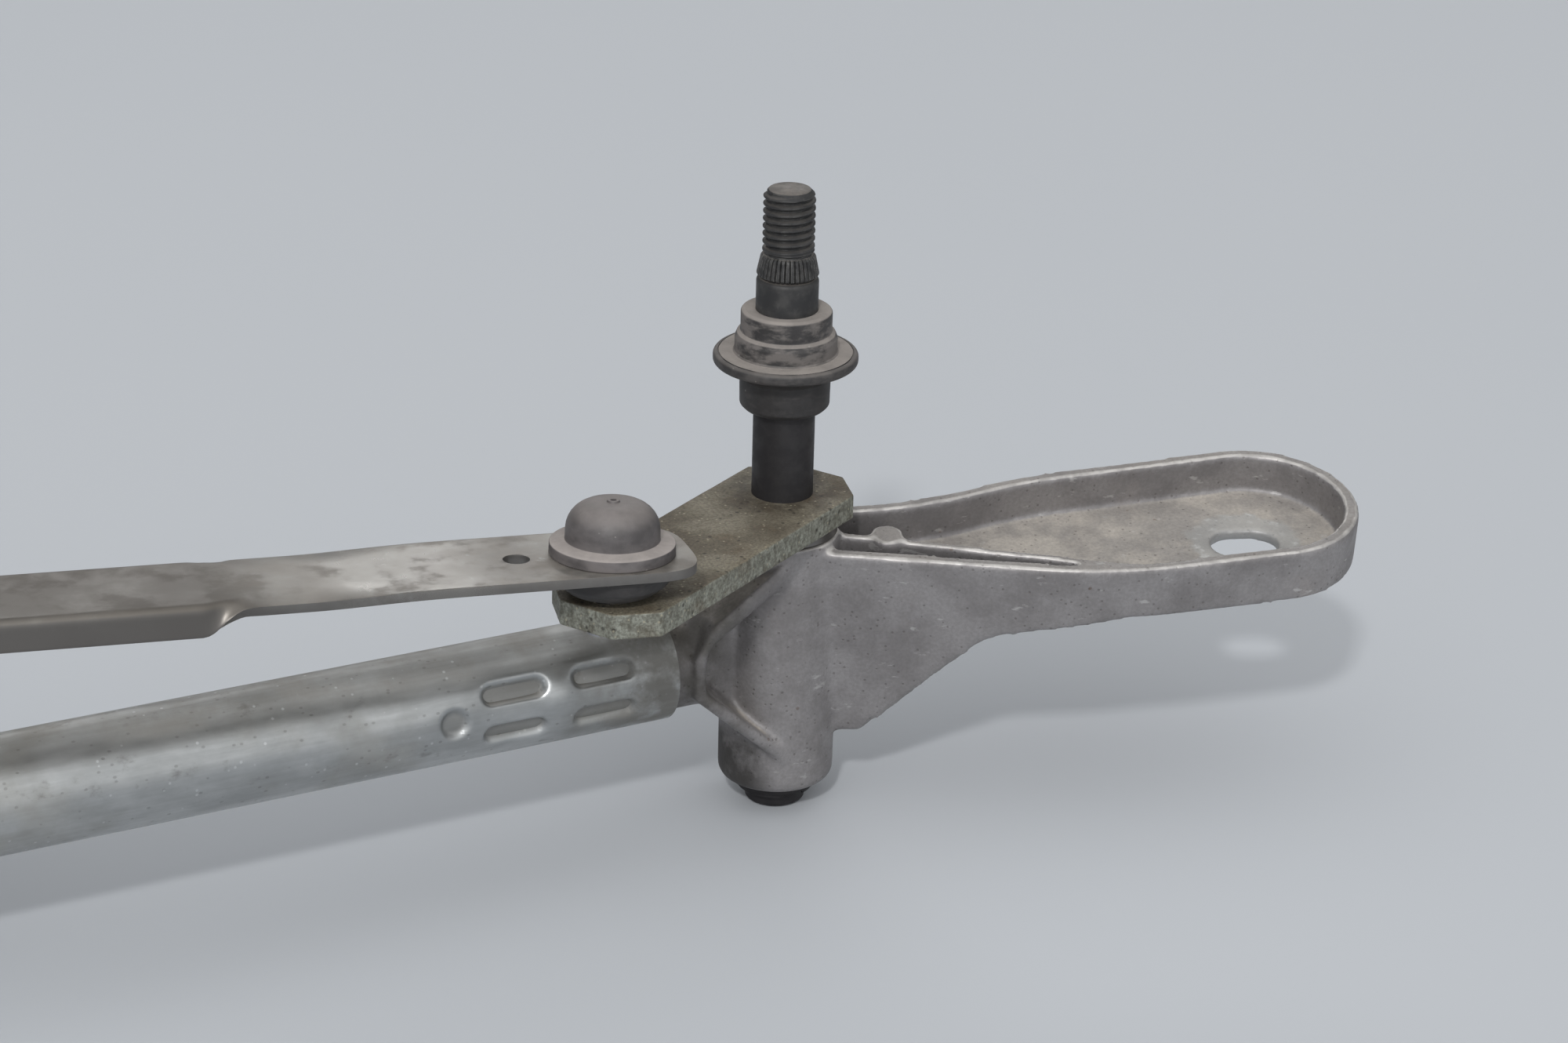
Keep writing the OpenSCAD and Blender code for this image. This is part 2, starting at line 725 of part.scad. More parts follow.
// Rubber boot that closes the joint below the rod
module boot() {
    lip = boot_gap - ball_h;
    shoulder = strip_bottom - boot_shoulder_h;
    color(rubber_black) rotate_extrude() polygon([
        [boot_lip_r, lip], [boot_lip_r + boot_wall, lip], [boot_hip_r, lip + boot_hip_h],
        [boot_belly_r, shoulder], [boot_belly_r, strip_bottom], [boot_bore_r, strip_bottom],
        [boot_bore_r, strip_bottom - boot_lip_t], [boot_belly_r - boot_wall, shoulder],
        [boot_hip_r - boot_wall, lip + boot_hip_h], [boot_lip_r, lip + boot_lip_t]
    ]);
}

// Motor bracket, around the motor axis: heights from the levers' upper faces

bracket_top = bracket_t / 2 - tube_drop;
bracket_rim_t = 2.5;
bracket_collar_h = 3;
saddle_r = tube_r + seat_clearance;
// The saddle hugs the tube from the lower to the upper of these angles
saddle_low = -100;
saddle_high = 60;
saddle_open_step = (360 + saddle_low - saddle_high) / 4;
rim_start = 5;
motor_bolt_angles = [90, 210, 330];

module bracket_shape(inset) {
    front = motor_y - saddle_r - bracket_t / 2;
    difference() {
        circle(bracket_r - inset);
        translate([-bracket_r, -front - bracket_r]) square([2 * bracket_r, bracket_r]);
    }
    polygon([
        [inset - saddle_len / 2, -front], [saddle_len / 2 - inset, -front],
        [bracket_r - inset, 0], [inset - bracket_r, 0]
    ]);
}

// Half shell that hugs the back of the tube
module saddle() {
    reach = 3 * saddle_r;
    translate([0, -motor_y, -tube_drop]) rotate([90, 0, 90])
        linear_extrude(saddle_len, center = true) difference() {
            circle(saddle_r + bracket_t);
            circle(saddle_r);
            polygon([
                [0, 0],
                for (a = [saddle_high : saddle_open_step : 360 + saddle_low]) polar(reach, a)
            ]);
        }
}

module motor_bracket() {
    rim_top = bracket_top + bracket_rim_h;
    color(zinc) difference() {
        union() {
            translate([0, 0, bracket_top - bracket_t]) linear_extrude(bracket_t) bracket_shape(0);
            translate([0, 0, bracket_top]) linear_extrude(bracket_rim_h) difference() {
                bracket_shape(0);
                bracket_shape(bracket_rim_t);
                translate([-bracket_r, -motor_y]) square([2 * bracket_r, motor_y - rim_start]);
            }
            translate([0, 0, bracket_top])
                cylinder(d = motor_boss_d + 2 * bracket_t, h = bracket_collar_h);
            saddle();
        }
        translate([0, 0, bracket_top - bracket_t - over])
            cylinder(d = motor_boss_d, h = bracket_t + bracket_collar_h + 2 * over);
        for (a = motor_bolt_angles) rotate([0, 0, a])
            translate([motor_pcd / 2, 0, bracket_top - bracket_t - over])
                cylinder(d = motor_hole_d, h = bracket_t + 2 * over);
    }
}

// Assembly

frame_tube();
at_right_pivot() housing();  // right_housing
at_left_pivot() mirror([1, 0, 0]) housing();  // left_housing
at_motor() motor_bracket();

at_right_pivot() bush(boss_top - bush_len);  // right_upper_bush
at_right_pivot() bush(boss_bottom);  // right_lower_bush
at_left_pivot() bush(boss_top - bush_len);  // left_upper_bush
at_left_pivot() bush(boss_bottom);  // left_lower_bush

at_right_pivot() shaft();  // right_shaft
at_right_pivot() lever(right_rest_angle);  // right_lever
translate([right_ball.x, right_ball.y, lever_z]) ball_stud(lever_t);  // right_ball_stud
at_right_pivot() shaft_seal();  // right_shaft_seal
at_right_pivot() seal_ring();  // right_seal_ring
at_right_pivot() thrust_washer();  // right_thrust_washer
at_right_pivot() lower_washer();  // right_lower_washer
at_right_pivot() retaining_ring();  // right_retaining_ring

at_left_pivot() shaft();  // left_shaft
at_left_pivot() lever(left_rest_angle);  // left_lever
translate([left_ball.x, left_ball.y, lever_z - lever_t]) rotate([180, 0, 0]) ball_stud(lever_t);  // left_ball_stud
at_left_pivot() shaft_seal();  // left_shaft_seal
at_left_pivot() seal_ring();  // left_seal_ring
at_left_pivot() thrust_washer();  // left_thrust_washer
at_left_pivot() lower_washer();  // left_lower_washer
at_left_pivot() retaining_ring();  // left_retaining_ring

at_motor() motor_crank();
at_motor() rotate([0, 0, right_rest_angle]) translate([lever_len, 0, crank_rise]) ball_stud(crank_t);  // crank_upper_stud
at_motor() rotate([0, 0, left_rest_angle]) translate([lever_len, 0, crank_rise - crank_t])  // crank_lower_stud
        rotate([180, 0, 0]) ball_stud(crank_t);

along_right_rod() rod(right_rod_len);  // right_rod
along_right_rod() socket();  // right_rod_outer_socket
along_right_rod() translate([right_rod_len, 0, 0]) socket();  // right_rod_inner_socket
along_right_rod() boot();  // right_rod_outer_boot
along_right_rod() translate([right_rod_len, 0, 0]) boot();  // right_rod_inner_boot

along_left_rod() rod(left_rod_len);  // left_rod
along_left_rod() socket();  // left_rod_outer_socket
along_left_rod() translate([left_rod_len, 0, 0]) socket();  // left_rod_inner_socket
along_left_rod() boot();  // left_rod_outer_boot
along_left_rod() translate([left_rod_len, 0, 0]) boot();  // left_rod_inner_boot
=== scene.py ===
# %% [markdown]
# # A worn wiper linkage
# This lesson dresses a windscreen wiper linkage: a zinc-plated tube with a die-cast pivot housing at each
# end, two threaded wiper shafts with stamped levers, a motor crank and two pressed drive rods. The solid
# model is loaded first and stays where it is. Every piece made here is in metres, in the solid model's own
# frame, and rides on one of its bodies, so the linkage can still be posed.

# %% Load the frame
import json
import math

import bmesh
import bpy
from mathutils import Matrix, Vector, noise


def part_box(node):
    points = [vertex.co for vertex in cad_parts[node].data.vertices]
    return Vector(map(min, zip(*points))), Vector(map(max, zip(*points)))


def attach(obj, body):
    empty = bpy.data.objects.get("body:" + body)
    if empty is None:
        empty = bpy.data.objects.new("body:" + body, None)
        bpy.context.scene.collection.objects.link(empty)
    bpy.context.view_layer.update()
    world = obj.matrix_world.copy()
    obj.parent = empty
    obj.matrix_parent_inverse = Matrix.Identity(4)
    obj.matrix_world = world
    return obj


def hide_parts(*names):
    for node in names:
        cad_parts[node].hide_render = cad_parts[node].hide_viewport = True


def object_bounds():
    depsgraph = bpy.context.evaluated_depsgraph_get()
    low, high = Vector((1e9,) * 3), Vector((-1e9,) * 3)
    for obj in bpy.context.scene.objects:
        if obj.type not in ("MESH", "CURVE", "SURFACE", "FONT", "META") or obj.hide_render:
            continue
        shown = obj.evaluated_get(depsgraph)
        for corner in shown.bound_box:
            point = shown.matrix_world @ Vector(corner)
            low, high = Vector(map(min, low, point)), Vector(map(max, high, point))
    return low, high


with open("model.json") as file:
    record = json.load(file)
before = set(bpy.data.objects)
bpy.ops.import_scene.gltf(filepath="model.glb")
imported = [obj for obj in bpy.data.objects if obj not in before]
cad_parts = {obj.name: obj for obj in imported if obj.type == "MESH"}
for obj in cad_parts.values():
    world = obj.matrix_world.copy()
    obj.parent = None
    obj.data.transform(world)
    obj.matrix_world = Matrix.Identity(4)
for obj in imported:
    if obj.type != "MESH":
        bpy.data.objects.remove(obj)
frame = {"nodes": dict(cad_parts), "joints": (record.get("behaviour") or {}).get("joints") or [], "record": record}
cad_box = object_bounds()
scene = bpy.context.scene
MM = 0.001
SIDES = ("right", "left")
HAND = {"right": 1, "left": -1}
pivots = {joint["name"]: Vector(joint["pos_m"]) for joint in frame["joints"]}
SHAFT_PLACE = {side: pivots[side + "_wiper_turn"] for side in SIDES}
mount_place = {mount["name"]: Vector(mount["pos_m"]) for mount in frame["record"]["mounts"]}
print("nodes", len(frame["nodes"]), "shafts at", [tuple(place) for place in SHAFT_PLACE.values()])

# %% [markdown]
# ## Small tools for meshes
# Most turned pieces are a profile spun about an axis. A profile is a short list of corners, each with a
# radius, because a real turned or moulded edge is never perfectly sharp. The rounding is done on the flat
# profile, before the spin, so that every edge keeps its own radius.

# %% Rounded profiles and spun pieces
SEAM_GAP = 1e-7


def rounded(corners, closed=False, steps=5):
    """Points of an outline of (x, y, radius) corners, with an arc at each corner that has a radius."""
    points = []
    for i, (x, y, radius) in enumerate(corners):
        corner = Vector((x, y))
        at_end = not closed and i in (0, len(corners) - 1)
        if radius == 0 or at_end:
            points.append(corner)
            continue
        before = (Vector(corners[i - 1][:2]) - corner).normalized()
        after = (Vector(corners[(i + 1) % len(corners)][:2]) - corner).normalized()
        half = before.angle(after) / 2
        middle = corner + (before + after).normalized() * (radius / math.sin(half))
        start = corner + before * (radius / math.tan(half)) - middle
        turn = start.angle_signed(corner + after * (radius / math.tan(half)) - middle)
        for k in range(steps + 1):
            points.append(middle + Matrix.Rotation(-turn * k / steps, 2) @ start)
    return points


def spun(points, steps, closed=False):
    """A bmesh made by spinning (radius, height) points, in millimetres, about the Z axis."""
    bm = bmesh.new()
    verts = [bm.verts.new((r * MM, 0, h * MM)) for r, h in points]
    edges = [bm.edges.new(pair) for pair in zip(verts, verts[1:])]
    if closed:
        edges.append(bm.edges.new((verts[-1], verts[0])))
    bmesh.ops.spin(bm, geom=verts + edges, cent=(0, 0, 0), axis=(0, 0, 1), angle=math.tau, steps=steps,
                   use_merge=True, use_duplicate=False)
    bmesh.ops.remove_doubles(bm, verts=bm.verts, dist=SEAM_GAP)
    bmesh.ops.recalc_face_normals(bm, faces=bm.faces)
    return bm


def smooth_step(low, high, value):
    """0 below low, 1 above high, and a smooth rise between them."""
    share = min(1.0, max(0.0, (value - low) / (high - low)))
    return share * share * (3 - 2 * share)


# %% [markdown]
# ## From a bmesh to a riding piece
# Each finished mesh gets its material, smooth shading with hard edges kept where two faces meet at a steep
# angle, and the body it rides on. The solid nodes that it stands for are hidden.

# %% Pieces
NODE_GAP = 1e-6


def new_object(name, bm):
    mesh = bpy.data.meshes.new(name)
    bm.to_mesh(mesh)
    bm.free()
    made = bpy.data.objects.new(name, mesh)
    scene.collection.objects.link(made)
    return made


def apply_modifiers(piece):
    """Bakes a piece's modifiers into its mesh."""
    bpy.context.view_layer.update()
    graph = bpy.context.evaluated_depsgraph_get()
    mesh = bpy.data.meshes.new_from_object(piece.evaluated_get(graph))
    piece.modifiers.clear()
    piece.data = mesh


def dress(piece, material, body, stands_for=(), sharp=40):
    """Gives a piece its material, shading and body, and hides the nodes that it stands for."""
    mesh = piece.data
    mesh.materials.clear()
    mesh.materials.append(material)
    mesh.polygons.foreach_set("use_smooth", [True] * len(mesh.polygons))
    mesh.set_sharp_from_angle(angle=math.radians(sharp))
    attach(piece, body)
    if stands_for:
        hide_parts(*stands_for)
    print(piece.name, "faces", len(mesh.polygons))
    return piece


def node_copy(node):
    """A merged copy of a solid node's mesh as a bmesh."""
    bm = bmesh.new()
    bm.from_mesh(frame["nodes"][node].data)
    bmesh.ops.remove_doubles(bm, verts=bm.verts, dist=NODE_GAP)
    return bm


def joined(first, second):
    """One bmesh that holds two."""
    mesh = bpy.data.meshes.new("joined")
    second.to_mesh(mesh)
    second.free()
    first.from_mesh(mesh)
    bpy.data.meshes.remove(mesh)
    return first


def placed(bm, matrix):
    bmesh.ops.transform(bm, matrix=matrix, verts=bm.verts)
    return bm


# %% [markdown]
# ## Effects that several finishes share
# Dirt, specks, worn edges and settled dust turn up on nearly every surface of a used linkage. Each effect is
# a shader node group with named inputs, built once. A group only puts out a mask, and each material decides
# what the mask mixes.

# %% Node helpers
def srgb(red, green, blue):
    """A colour given as a screen shows it, 0 to 255, as the linear colour that shaders use."""
    def linear(part):
        part /= 255
        return part / 12.92 if part <= 0.04045 else ((part + 0.055) / 1.055) ** 2.4
    return linear(red), linear(green), linear(blue), 1.0


def feed(tree, socket, value):
    """Links a socket, or sets its value."""
    if isinstance(value, bpy.types.NodeSocket):
        tree.links.new(value, socket)
    else:
        socket.default_value = value


def add(tree, kind, inputs=(), **settings):
    """A node of that kind with its settings and its inputs, by name or number."""
    made = tree.nodes.new(kind)
    for name, value in settings.items():
        setattr(made, name, value)
    for key, value in dict(inputs).items():
        feed(tree, made.inputs[key], value)
    return made


def math_node(tree, operation, a, b=0.0):
    return add(tree, "ShaderNodeMath", {0: a, 1: b}, operation=operation).outputs[0]


def times(tree, a, b):
    return math_node(tree, "MULTIPLY", a, b)


def vector_math(tree, operation, a, b=(0, 0, 0)):
    return add(tree, "ShaderNodeVectorMath", {0: a, 1: b}, operation=operation).outputs


def height_of(tree, vector):
    return add(tree, "ShaderNodeSeparateXYZ", {0: vector}).outputs["Z"]


def facing(tree):
    """The direction that the surface faces."""
    return add(tree, "ShaderNodeNewGeometry").outputs["Normal"]


def cloud_noise(tree, place, **inputs):
    return add(tree, "ShaderNodeTexNoise", {"Vector": place, **inputs}).outputs["Fac"]


def ramp(tree, value, low, high, to_low=0.0, to_high=1.0):
    """A smooth rise from to_low to to_high as value goes from low to high."""
    inputs = {"Value": value, "From Min": low, "From Max": high, "To Min": to_low, "To Max": to_high}
    return add(tree, "ShaderNodeMapRange", inputs, interpolation_type="SMOOTHSTEP").outputs["Result"]


def blend(tree, mask, bare, covered):
    """A value that goes from bare to covered as a mask goes from 0 to 1."""
    return ramp(tree, mask, 0.0, 1.0, bare, covered)


def mix(tree, share, a, b):
    """Colour a turning into colour b by a share from 0 to 1."""
    return add(tree, "ShaderNodeMix", {0: share, 6: a, 7: b}, data_type="RGBA", blend_type="MIX").outputs[2]


def tint(tree, colour, mask, share, paint):
    """A colour with a paint, given as a screen shows it, over a share of what a mask covers."""
    return mix(tree, times(tree, mask, share), colour, srgb(*paint))


def stretched(tree, place, scale, turn=(0, 0, 0)):
    """Coordinates turned and scaled, for streaks along one direction."""
    return add(tree, "ShaderNodeMapping", {"Vector": place, "Scale": scale, "Rotation": turn}).outputs[0]


def new_group(name, inputs):
    """An empty group with float inputs by name and value, a Vector input and one Mask output."""
    tree = bpy.data.node_groups.new(name, "ShaderNodeTree")
    tree.interface.new_socket("Vector", in_out="INPUT", socket_type="NodeSocketVector")
    for label, value in inputs.items():
        socket = tree.interface.new_socket(label, in_out="INPUT", socket_type="NodeSocketFloat")
        socket.default_value = value
    tree.interface.new_socket("Mask", in_out="OUTPUT", socket_type="NodeSocketFloat")
    return tree, tree.nodes.new("NodeGroupInput").outputs, tree.nodes.new("NodeGroupOutput").inputs


def use(tree, group, place, **inputs):
    """Places a shared group in a material and returns its mask."""
    made = tree.nodes.new("ShaderNodeGroup")
    made.node_tree = group
    for label, value in {"Vector": place, **inputs}.items():
        feed(tree, made.inputs[label], value)
    return made.outputs["Mask"]


# %% Mottling: soft blotches of any size
MOTTLING, given, out = new_group("mottling", {"Scale": 100.0, "Detail": 5.0, "Low": 0.4, "High": 0.6})
blotches = cloud_noise(MOTTLING, given["Vector"], Scale=given["Scale"], Detail=given["Detail"], Roughness=0.6)
MOTTLING.links.new(ramp(MOTTLING, blotches, given["Low"], given["High"]), out["Mask"])

# %% Specks: scattered round spots, for pits, grit and corrosion
SPECKS, given, out = new_group("specks", {"Scale": 500.0, "Radius": 0.25, "Share": 0.2})
cells = add(SPECKS, "ShaderNodeTexVoronoi", {"Vector": given["Vector"], "Scale": given["Scale"]})
core = times(SPECKS, given["Radius"], 0.5)
spot = ramp(SPECKS, cells.outputs["Distance"], core, given["Radius"], 1.0, 0.0)
lottery = add(SPECKS, "ShaderNodeSeparateColor", {"Color": cells.outputs["Color"]}).outputs["Red"]
drawn = math_node(SPECKS, "LESS_THAN", lottery, given["Share"])
SPECKS.links.new(times(SPECKS, spot, drawn), out["Mask"])

# %% Edge wear: where a rounded normal leaves the true one, broken up by noise
EDGE_WEAR, given, out = new_group("edge wear", {"Width": 0.8 * MM, "Low": 0.02, "High": 0.2, "Breaks": 300.0})
rounded_normal = add(EDGE_WEAR, "ShaderNodeBevel", {"Radius": given["Width"]}, samples=4).outputs["Normal"]
agreement = vector_math(EDGE_WEAR, "DOT_PRODUCT", rounded_normal, facing(EDGE_WEAR))["Value"]
edge = ramp(EDGE_WEAR, math_node(EDGE_WEAR, "SUBTRACT", 1.0, agreement), given["Low"], given["High"])
breaks = cloud_noise(EDGE_WEAR, given["Vector"], Scale=given["Breaks"], Detail=4.0)
EDGE_WEAR.links.new(times(EDGE_WEAR, edge, ramp(EDGE_WEAR, breaks, 0.35, 0.6)), out["Mask"])

# %% Settled dust: on faces that look up, thin and thick in patches
SETTLED_DUST, given, out = new_group("settled dust", {"Scale": 90.0, "Start": 0.2, "Full": 0.9, "Thin": 0.35})
upward = height_of(SETTLED_DUST, facing(SETTLED_DUST))
patches = cloud_noise(SETTLED_DUST, given["Vector"], Scale=given["Scale"], Detail=6.0, Roughness=0.65)
cover = ramp(SETTLED_DUST, patches, 0.35, 0.65, given["Thin"], 1.0)
lying = times(SETTLED_DUST, ramp(SETTLED_DUST, upward, given["Start"], given["Full"]), cover)
SETTLED_DUST.links.new(lying, out["Mask"])
print("shared groups", [group.name for group in bpy.data.node_groups])

# %% [markdown]
# ## The finishes
# A material starts from the metal or rubber itself and then takes on what years under a windscreen put on
# it. Colours are named as they look on the real piece. Metallic and roughness follow the same masks as the
# colours: dust is dull and not metal, a worn edge is bright and smoother.

# %% A new finish
def new_finish(name):
    material = bpy.data.materials.new(name)
    material.use_nodes = True
    tree = material.node_tree
    place = tree.nodes.new("ShaderNodeTexCoord").outputs["Object"]
    return material, tree, tree.nodes["Principled BSDF"].inputs, place


def coat(tree, shader, colour, metallic, roughness):
    """Sets a finish's colour, and how metallic and how rough it is."""
    feed(tree, shader["Base Color"], colour)
    feed(tree, shader["Metallic"], metallic)
    feed(tree, shader["Roughness"], roughness)


def bump(tree, shader, height, strength, distance):
    """Relief from a height value, as depth in metres."""
    made = add(tree, "ShaderNodeBump", {"Height": height, "Strength": strength, "Distance": distance})
    tree.links.new(made.outputs["Normal"], shader["Normal"])


# %% Distance to the nearest of some points, or of the lines through them
EVERY_WAY = (1, 1, 1)
LEVEL = (1, 1, 0)
ACROSS_TUBE = (0, 1, 1)


def nearest_distance(tree, place, points, directions=EVERY_WAY):
    nearest = None
    for point in points:
        offset = vector_math(tree, "SUBTRACT", place, point)[0]
        offset = vector_math(tree, "MULTIPLY", offset, directions)[0]
        away = vector_math(tree, "LENGTH", offset)["Value"]
        nearest = away if nearest is None else math_node(tree, "MINIMUM", nearest, away)
    return nearest


# %% Where a point lies between the two shafts
def between_shafts(tree, place):
    """Distance from the nearer shaft toward the middle of the linkage, negative beyond the shafts."""
    x = add(tree, "ShaderNodeSeparateXYZ", {0: place}).outputs["X"]
    from_right = math_node(tree, "SUBTRACT", SHAFT_PLACE["right"].x, x)
    from_left = math_node(tree, "SUBTRACT", x, SHAFT_PLACE["left"].x)
    return math_node(tree, "MINIMUM", from_right, from_left)


# %% How far a point lies below the plane of an ear's rim
EAR_YAW = math.radians(19.6)
EAR_TWIST = math.radians(8)
EAR_DROP = 8.0
RIM_NORMAL = Matrix.Rotation(-EAR_YAW, 3, "Z") @ Matrix.Rotation(EAR_TWIST, 3, "X") @ Vector((0, 0, 1))
RIM_POINT = SHAFT_PLACE["right"] - Vector((0, 0, EAR_DROP * MM))
MIDDLE_X = (SHAFT_PLACE["right"].x + SHAFT_PLACE["left"].x) / 2


def below_rim(tree, place):
    """The left ear mirrors the right one, so a point on the left is first mirrored over."""
    x, y, z = add(tree, "ShaderNodeSeparateXYZ", {0: place}).outputs
    from_middle = math_node(tree, "ABSOLUTE", math_node(tree, "SUBTRACT", x, MIDDLE_X))
    x = math_node(tree, "ADD", from_middle, MIDDLE_X)
    place = add(tree, "ShaderNodeCombineXYZ", {0: x, 1: y, 2: z}).outputs[0]
    offset = vector_math(tree, "SUBTRACT", RIM_POINT, place)[0]
    return vector_math(tree, "DOT_PRODUCT", offset, RIM_NORMAL)["Value"]


# %% Marks on the ears: the ring that a washer left round each bolt slot, and a painted highlight along the rim
WASHER_HOLE_R = 7.0 * MM
WASHER_R = 12.5 * MM
WASHER_FADE = 2.5 * MM
CRUST_FADE = 3 * MM
WASHER_RAGGED = 1.3 * MM
RIM_HIGHLIGHT_DEPTH = (1.2 * MM, 2.0 * MM)


def washer_mark(tree, place, ragged):
    """Masks of a washer's pale print and of the crust on it."""
    nearest = nearest_distance(tree, place, [mount_place[side + "_ear_slot"] for side in SIDES])
    reach = math_node(tree, "ADD", nearest, ramp(tree, ragged, 0.3, 0.7, -WASHER_RAGGED, WASHER_RAGGED))
    washer = ramp(tree, reach, WASHER_R - WASHER_FADE, WASHER_R, 1.0, 0.0)
    crust = times(tree, washer, use(tree, MOTTLING, place, Scale=380.0, Detail=7.0, Low=0.5, High=0.66))
    return washer, times(tree, crust, ramp(tree, reach, WASHER_HOLE_R, WASHER_R - CRUST_FADE))


def rim_highlight(tree, place, ragged):
    """Mask of the rounded upper edges of an ear's wall, where a painted highlight goes; they are also a little
    smoother.
    """
    upward = height_of(tree, facing(tree))
    on_edge = times(tree, ramp(tree, upward, 0.45, 0.7), ramp(tree, upward, 0.9, 0.97, 1.0, 0.0))
    on_rim = times(tree, on_edge, ramp(tree, below_rim(tree, place), *RIM_HIGHLIGHT_DEPTH, 0.9, 0.0))
    return times(tree, on_rim, ramp(tree, ragged, 0.35, 0.6, 0.45, 1.0))


# %% Cast aluminium: warm grey, stained, with bright worn edges, a painted highlight along the rims, and oily under the gusset
TRAY_DUST = (0.5 * MM, 1.6 * MM)
GUSSET_GRIME = (9 * MM, 17 * MM)
GUSSET_OIL = (4 * MM, 10 * MM)
OIL_LEVEL = (SHAFT_PLACE["right"].z - 52 * MM, SHAFT_PLACE["right"].z - 47 * MM)


def cast_aluminium():
    material, tree, shader, place = new_finish("cast_aluminium")
    clouds = use(tree, MOTTLING, place, Scale=70.0, Detail=7.0, Low=0.36, High=0.66)
    colour = mix(tree, clouds, srgb(134, 131, 131), srgb(156, 153, 153))
    stains = use(tree, MOTTLING, place, Scale=46.0, Detail=8.0, Low=0.55, High=0.74)
    colour = tint(tree, colour, stains, 0.35, (118, 106, 97))
    dust = use(tree, SETTLED_DUST, place, Scale=80.0, Start=0.6, Full=0.95, Thin=0.5)
    dust = times(tree, dust, ramp(tree, below_rim(tree, place), *TRAY_DUST, 0.4, 1.0))
    colour = tint(tree, colour, dust, 0.85, (198, 190, 179))
    grain = use(tree, MOTTLING, place, Scale=1500.0, Detail=3.0, Low=0.3, High=0.7)
    colour = tint(tree, colour, grain, 0.25, (104, 100, 99))
    pits = use(tree, SPECKS, place, Scale=1100.0, Radius=0.36, Share=0.16)
    colour = tint(tree, colour, pits, 0.4, (78, 72, 68))
    turned = stretched(tree, place, (1.0, 1.0, 1.0), (0.4, 0.2, 0.7))
    rust_dots = use(tree, SPECKS, turned, Scale=420.0, Radius=0.2, Share=0.06)
    colour = tint(tree, colour, rust_dots, 0.45, (96, 72, 54))
    slanted = stretched(tree, place, (1.0, 1.0, 2.6), (0.3, 0.5, 0.9))
    smears = use(tree, MOTTLING, slanted, Scale=190.0, Detail=7.0, Low=0.63, High=0.71)
    colour = tint(tree, colour, smears, 0.5, (200, 198, 196))
    ragged = cloud_noise(tree, place, Scale=240.0, Detail=6.0)
    washer, crust = washer_mark(tree, place, ragged)
    colour = tint(tree, colour, washer, 0.6, (176, 176, 174))
    colour = tint(tree, colour, crust, 0.7, (205, 205, 202))
    wear = use(tree, EDGE_WEAR, place, Width=0.9 * MM, Low=0.02, High=0.14, Breaks=260.0)
    # Worn edges and a painted highlight along each ear's rim share one pale colour.
    wear = math_node(tree, "MAXIMUM", wear, rim_highlight(tree, place, ragged))
    colour = tint(tree, colour, wear, 0.75, (226, 222, 217))
    patchy = use(tree, MOTTLING, place, Scale=130.0, Detail=7.0, Low=0.25, High=0.6)
    inward = between_shafts(tree, place)
    grime = times(tree, ramp(tree, inward, *GUSSET_GRIME), patchy)
    colour = tint(tree, colour, grime, 0.7, (78, 75, 68))
    low_down = ramp(tree, height_of(tree, place), *OIL_LEVEL, 1.0, 0.0)
    oil = times(tree, ramp(tree, inward, *GUSSET_OIL), low_down)
    colour = tint(tree, colour, oil, blend(tree, patchy, 0.3, 0.85), (52, 49, 46))
    dull = math_node(tree, "MAXIMUM", times(tree, dust, 0.8), crust)
    metallic = blend(tree, math_node(tree, "MAXIMUM", dull, stains), 0.6, 0.15)
    rough = math_node(tree, "SUBTRACT", blend(tree, clouds, 0.62, 0.52), times(tree, wear, 0.2))
    coat(tree, shader, colour, metallic, rough)
    relief = math_node(tree, "SUBTRACT", times(tree, grain, 0.3), pits)
    bump(tree, shader, relief, 0.5, 0.1 * MM)
    return material


# %% Zinc on the tube: blue-grey, drawn lengthwise, dusty brown on top, with dark spots and painted shade in the crimps
TUBE_END_GRIME = (30 * MM, 58 * MM)
CRIMP_FLOOR = (9.3 * MM, 10.5 * MM)


